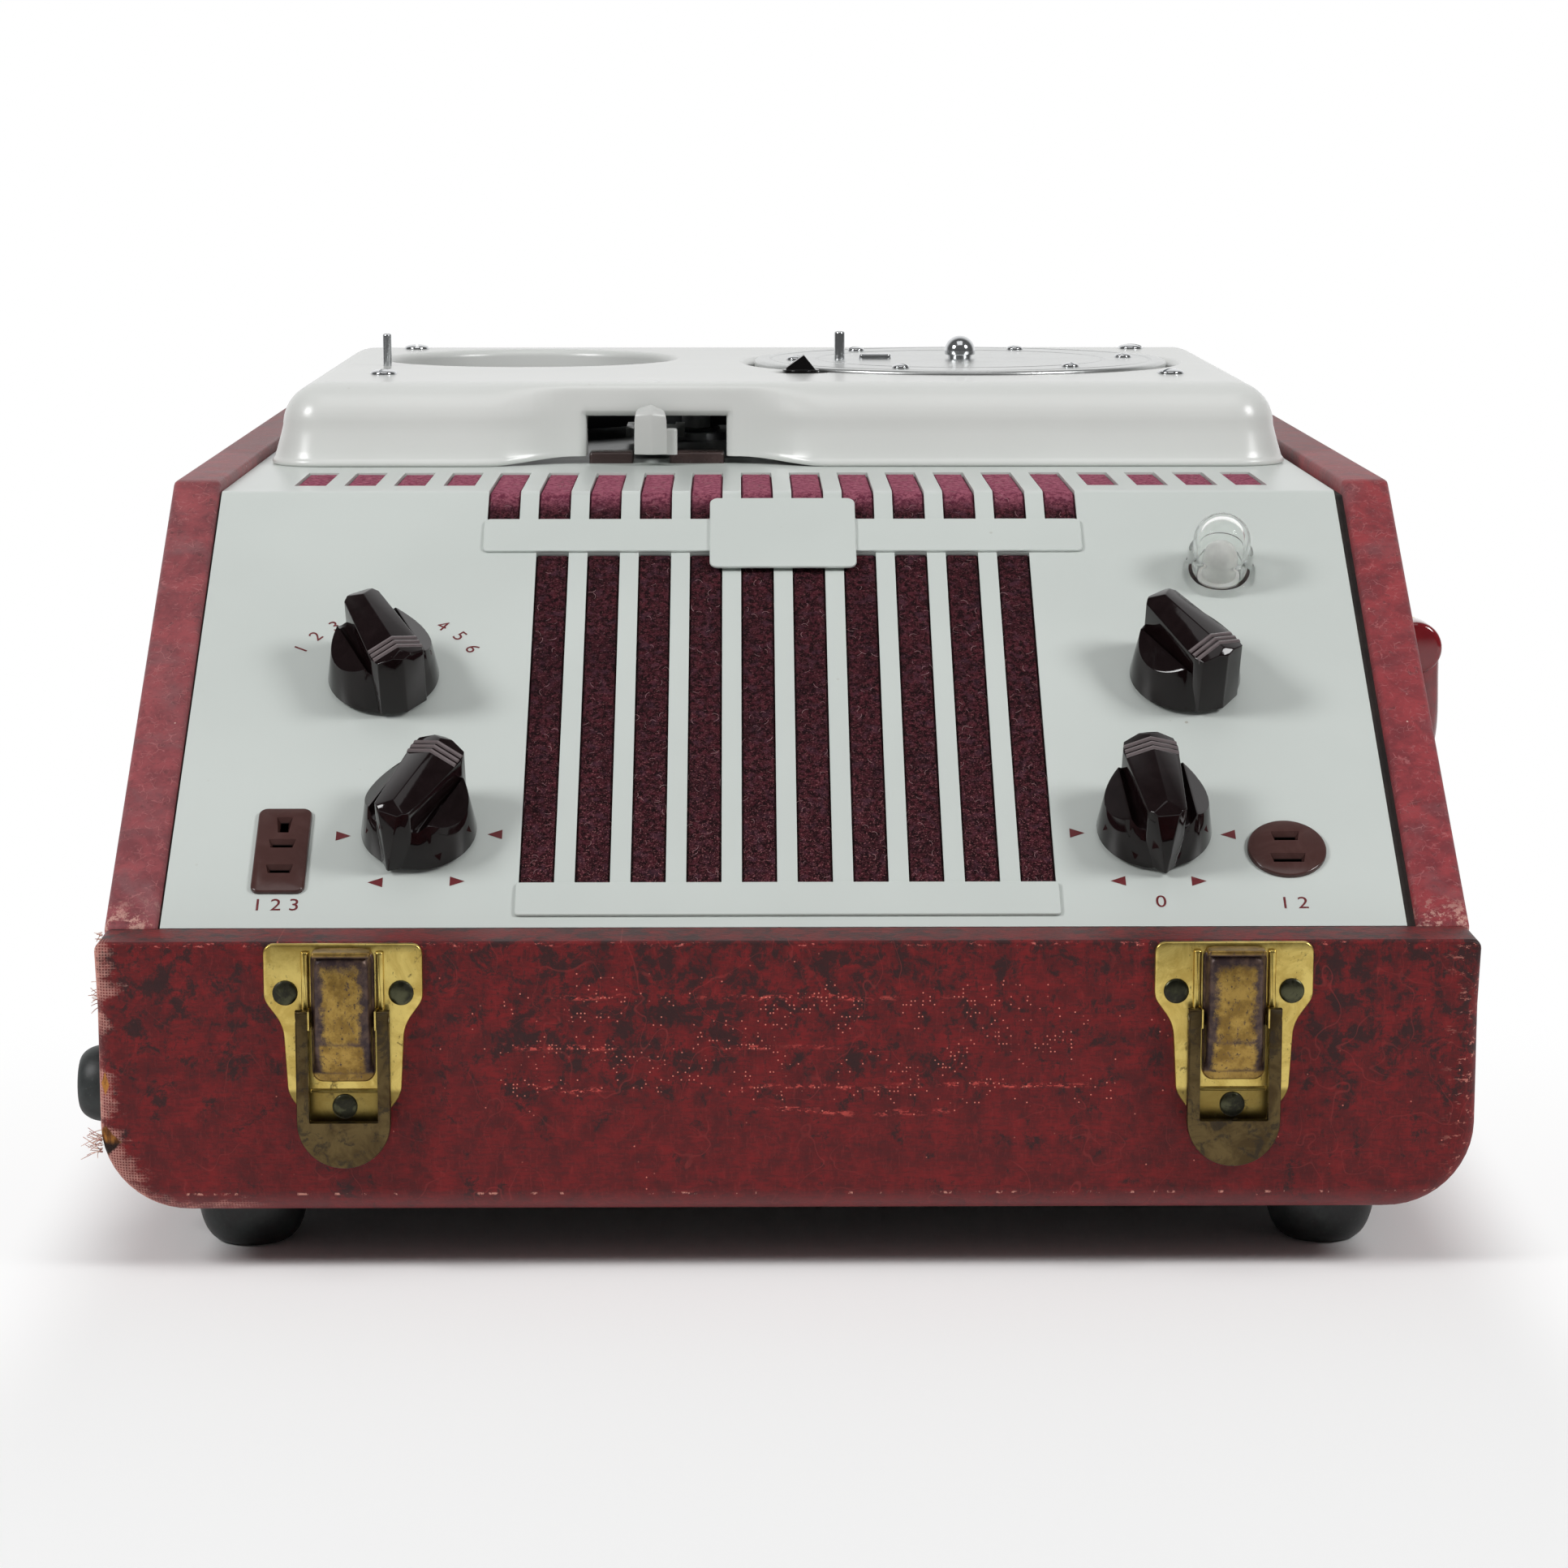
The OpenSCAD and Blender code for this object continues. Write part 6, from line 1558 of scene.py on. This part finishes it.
def turntable_form():
    """A felted disc with a ring groove and a driving pin."""
    foot = DECK_Z + 1.7
    low = DECK_Z + 3.2
    top = low + 4
    line = [(2.55, foot), (6.5, foot), (6.5, low), (35.2, low)] + arc(35.2, low + 0.8, 0.8, -90, 0, 3)
    line += arc(35, top - 1, 1, 0, 90, 4) + [(30, top), (29.6, top - 0.3), (28.9, top - 0.3), (28.5, top)]
    disc = turned(line + [(2.55, top)], 96, closed=True)
    pin = moved(round_pin(low + 2, low + 7, 0.5, 3), shifted(15, 0, 0))
    return moved(joined(disc, pin), shifted(*WELL_AT, 0))


add_piece("spun_drum", drum_form(), ALUMINIUM, "takeup", ["takeup_drum"], 30)
add_piece("drum_trim", drum_tops(), CHROME, "takeup", ["drum_fittings"])
disc_form = turntable_form()
add_piece("felted_turntable", disc_form, TURNTABLE, "supply", ["supply_turntable"], 30)
spindle = eased(solid_copy("supply_spindle"), 0.4, 3)
add_piece("spool_spindle", spindle, STEEL, "supply", ["supply_spindle"])
head_form = eased(solid_copy("recording_head"), 0.35, 3)
add_piece("wire_head", head_form, HEAD_BLACK, "head", ["recording_head"])


def lever_grip():
    """A bent grip with two facets in front and a lip that curls back over its top."""
    path = [(5.2, 0.6, 1, 0), (5.2, 5, 1, 0), (5.2, 9.4, 0.98, 4), (5.0, 11, 0.95, 24)]
    path += [(4.2, 12.3, 0.9, 48), (2.9, 13.1, 0.82, 70), (1.4, 13.4, 0.7, 84)]
    rings = []
    for i, (reach, z, wide, angle) in enumerate(path):
        lean = math.radians(angle)
        thick = 4 - 0.9 * i / 6
        ring = []
        for x, d in ((-4.2, 1.1), (-0.1, 0), (0.5, 0), (4.2, 1.6), (4.2, thick), (-4.2, thick)):
            ring.append((x * wide, -reach + d * math.cos(lean), z - d * math.sin(lean) * 0.8))
        rings.append(ring)
    return moved(eased(loft(rings), 0.3, 3, 15), shifted(LEVER_X, DECK_Y + 5.7, DECK_Z + 2.5))


def lever_bar():
    bar = solid_copy("control_lever")
    cut(bar, (0, DECK_Y + 3.6, 0), (0, -1, 0))
    cut(bar, (0, 0, DECK_Z + 5.6), (0, 0, 1))
    return eased(bar, 0.3, 2)


hub = moved(plate(box_outline(5, 3.6, 0.8, 4.4, 5.3), 2.9, 9.6, 0.5), shifted(LEVER_X, DECK_Y, DECK_Z))
lever_form = joined(lever_grip(), lever_bar(), hub)
add_piece("run_lever_grip", lever_form, LEVER_GREY, "run_lever", ["control_lever"], 25)


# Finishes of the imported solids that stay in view

SLOT_FINISH = {
    "plywood": STAINED_WOOD, "rubber": RUBBER, "steel": STEEL, "brass": PLATE_BRASS, "bronze": BRONZE,
    "speaker_metal": SPEAKER_PAINT, "cone_paper": CONE_PAPER, "socket_bakelite": SOCKET_BROWN,
    "control_metal": CHASSIS, "chassis_steel": CHASSIS, "motor_black": MOTOR_PAINT,
    "valve_glass": VALVE_GLASS,
}
for subpart in frame["record"]["subparts"]:
    solid = frame["nodes"][subpart["node"]]
    if subpart["material_slot"] in SLOT_FINISH:
        solid.data.materials.clear()
        solid.data.materials.append(SLOT_FINISH[subpart["material_slot"]])


# Floor, light and camera


def studio_floor():
    """A pale floor that shows white to the camera, apart from the shadows round the case."""
    f = Finish("studio floor")
    colour = f.mix(f.cloud(400, 2, 0.5), (250, 250, 250), (253, 253, 253))
    lit = f.node("ShaderNodeBsdfDiffuse", {}, {"Color": colour})
    y = f.axis("Y")
    beside = (abs(f.axis("X")) - CASE_W / 2).rise(-8, 26)
    clear = beside.most(y.rise(CASE_D, CASE_D + 80)) * y.rise(-150, -20)
    clear = clear.most(f.axis("X").reach(y - CASE_D / 2).rise(480, 900))
    seen = f.node("ShaderNodeLightPath", out="Is Camera Ray")
    share = seen * clear * (0.86 + y.rise(0, 260) * 0.14)
    glow = f.node("ShaderNodeEmission", {}, {"Color": (1, 1, 1, 1), "Strength": 1.0})
    both = f.node("ShaderNodeMixShader", {}, {0: share, 1: lit, 2: glow})
    f.node("ShaderNodeOutputMaterial", {}, {"Surface": both})
    return f.material


floor_mesh = bpy.data.meshes.new("floor")
floor_mesh.from_pydata([(-3, -2.2, 0), (3, -2.2, 0), (3, 0.507, 0), (-3, 0.507, 0)], [], [(0, 1, 2, 3)])
floor_mesh.materials.append(studio_floor())
floor = linked("floor", floor_mesh)

world = bpy.data.worlds.new("studio")
world.use_nodes = True
bpy.context.scene.world = world
sky = Nodes(world.node_tree)
rays = sky.node("ShaderNodeLightPath", out="Is Camera Ray")
towards = sky.node("ShaderNodeTexCoord", out="Generated")
backdrop = sky.node("ShaderNodeSeparateXYZ", {}, {0: towards}, "Y").rise(0.15, 0.8)
above = sky.node("ShaderNodeSeparateXYZ", {}, {0: towards}, "Z").rise(0.05, 0.75)
kinds = rays.socket.node.outputs
mirrored = Value(sky, kinds["Is Glossy Ray"]).most(Value(sky, kinds["Is Transmission Ray"]))
soft = 0.04 + above * 0.2
strength = soft + mirrored * (backdrop * 0.92 + 0.08 - soft)
strength = strength + rays * (1 - strength)
glow = sky.node("ShaderNodeBackground", {}, {"Color": (1, 1, 1, 1), "Strength": strength})
sky.node("ShaderNodeOutputWorld", {}, {"Surface": glow})


def soft_box(name, place, size, power):
    """A square soft lamp that faces the case."""
    lamp = bpy.data.lights.new(name, "AREA")
    lamp.size = size
    lamp.energy = power
    holder = linked(name, lamp)
    holder.location = place
    holder.rotation_euler = (Vector((0, 0, 0.1)) - Vector(place)).to_track_quat("-Z", "Y").to_euler()


soft_box("overhead", (0, -0.5, 1.5), 0.9, 2.6)
soft_box("front_left", (-1.05, -0.7, 0.95), 0.4, 10.6)
soft_box("front_right", (1.05, -0.7, 0.95), 0.4, 9.8)

camera_lens = bpy.data.cameras.new("camera")
camera_lens.sensor_fit = "HORIZONTAL"
camera_lens.sensor_width = 36
camera_lens.lens = 94.48
camera = linked("camera", camera_lens)
camera.location = ORIGIN + Vector((-0.01058, -0.85969, 0.2492))
camera.rotation_euler = (math.radians(90 - 9.358), 0, math.radians(-0.634))
bpy.context.scene.camera = camera
bpy.context.scene.view_settings.view_transform = "Standard"
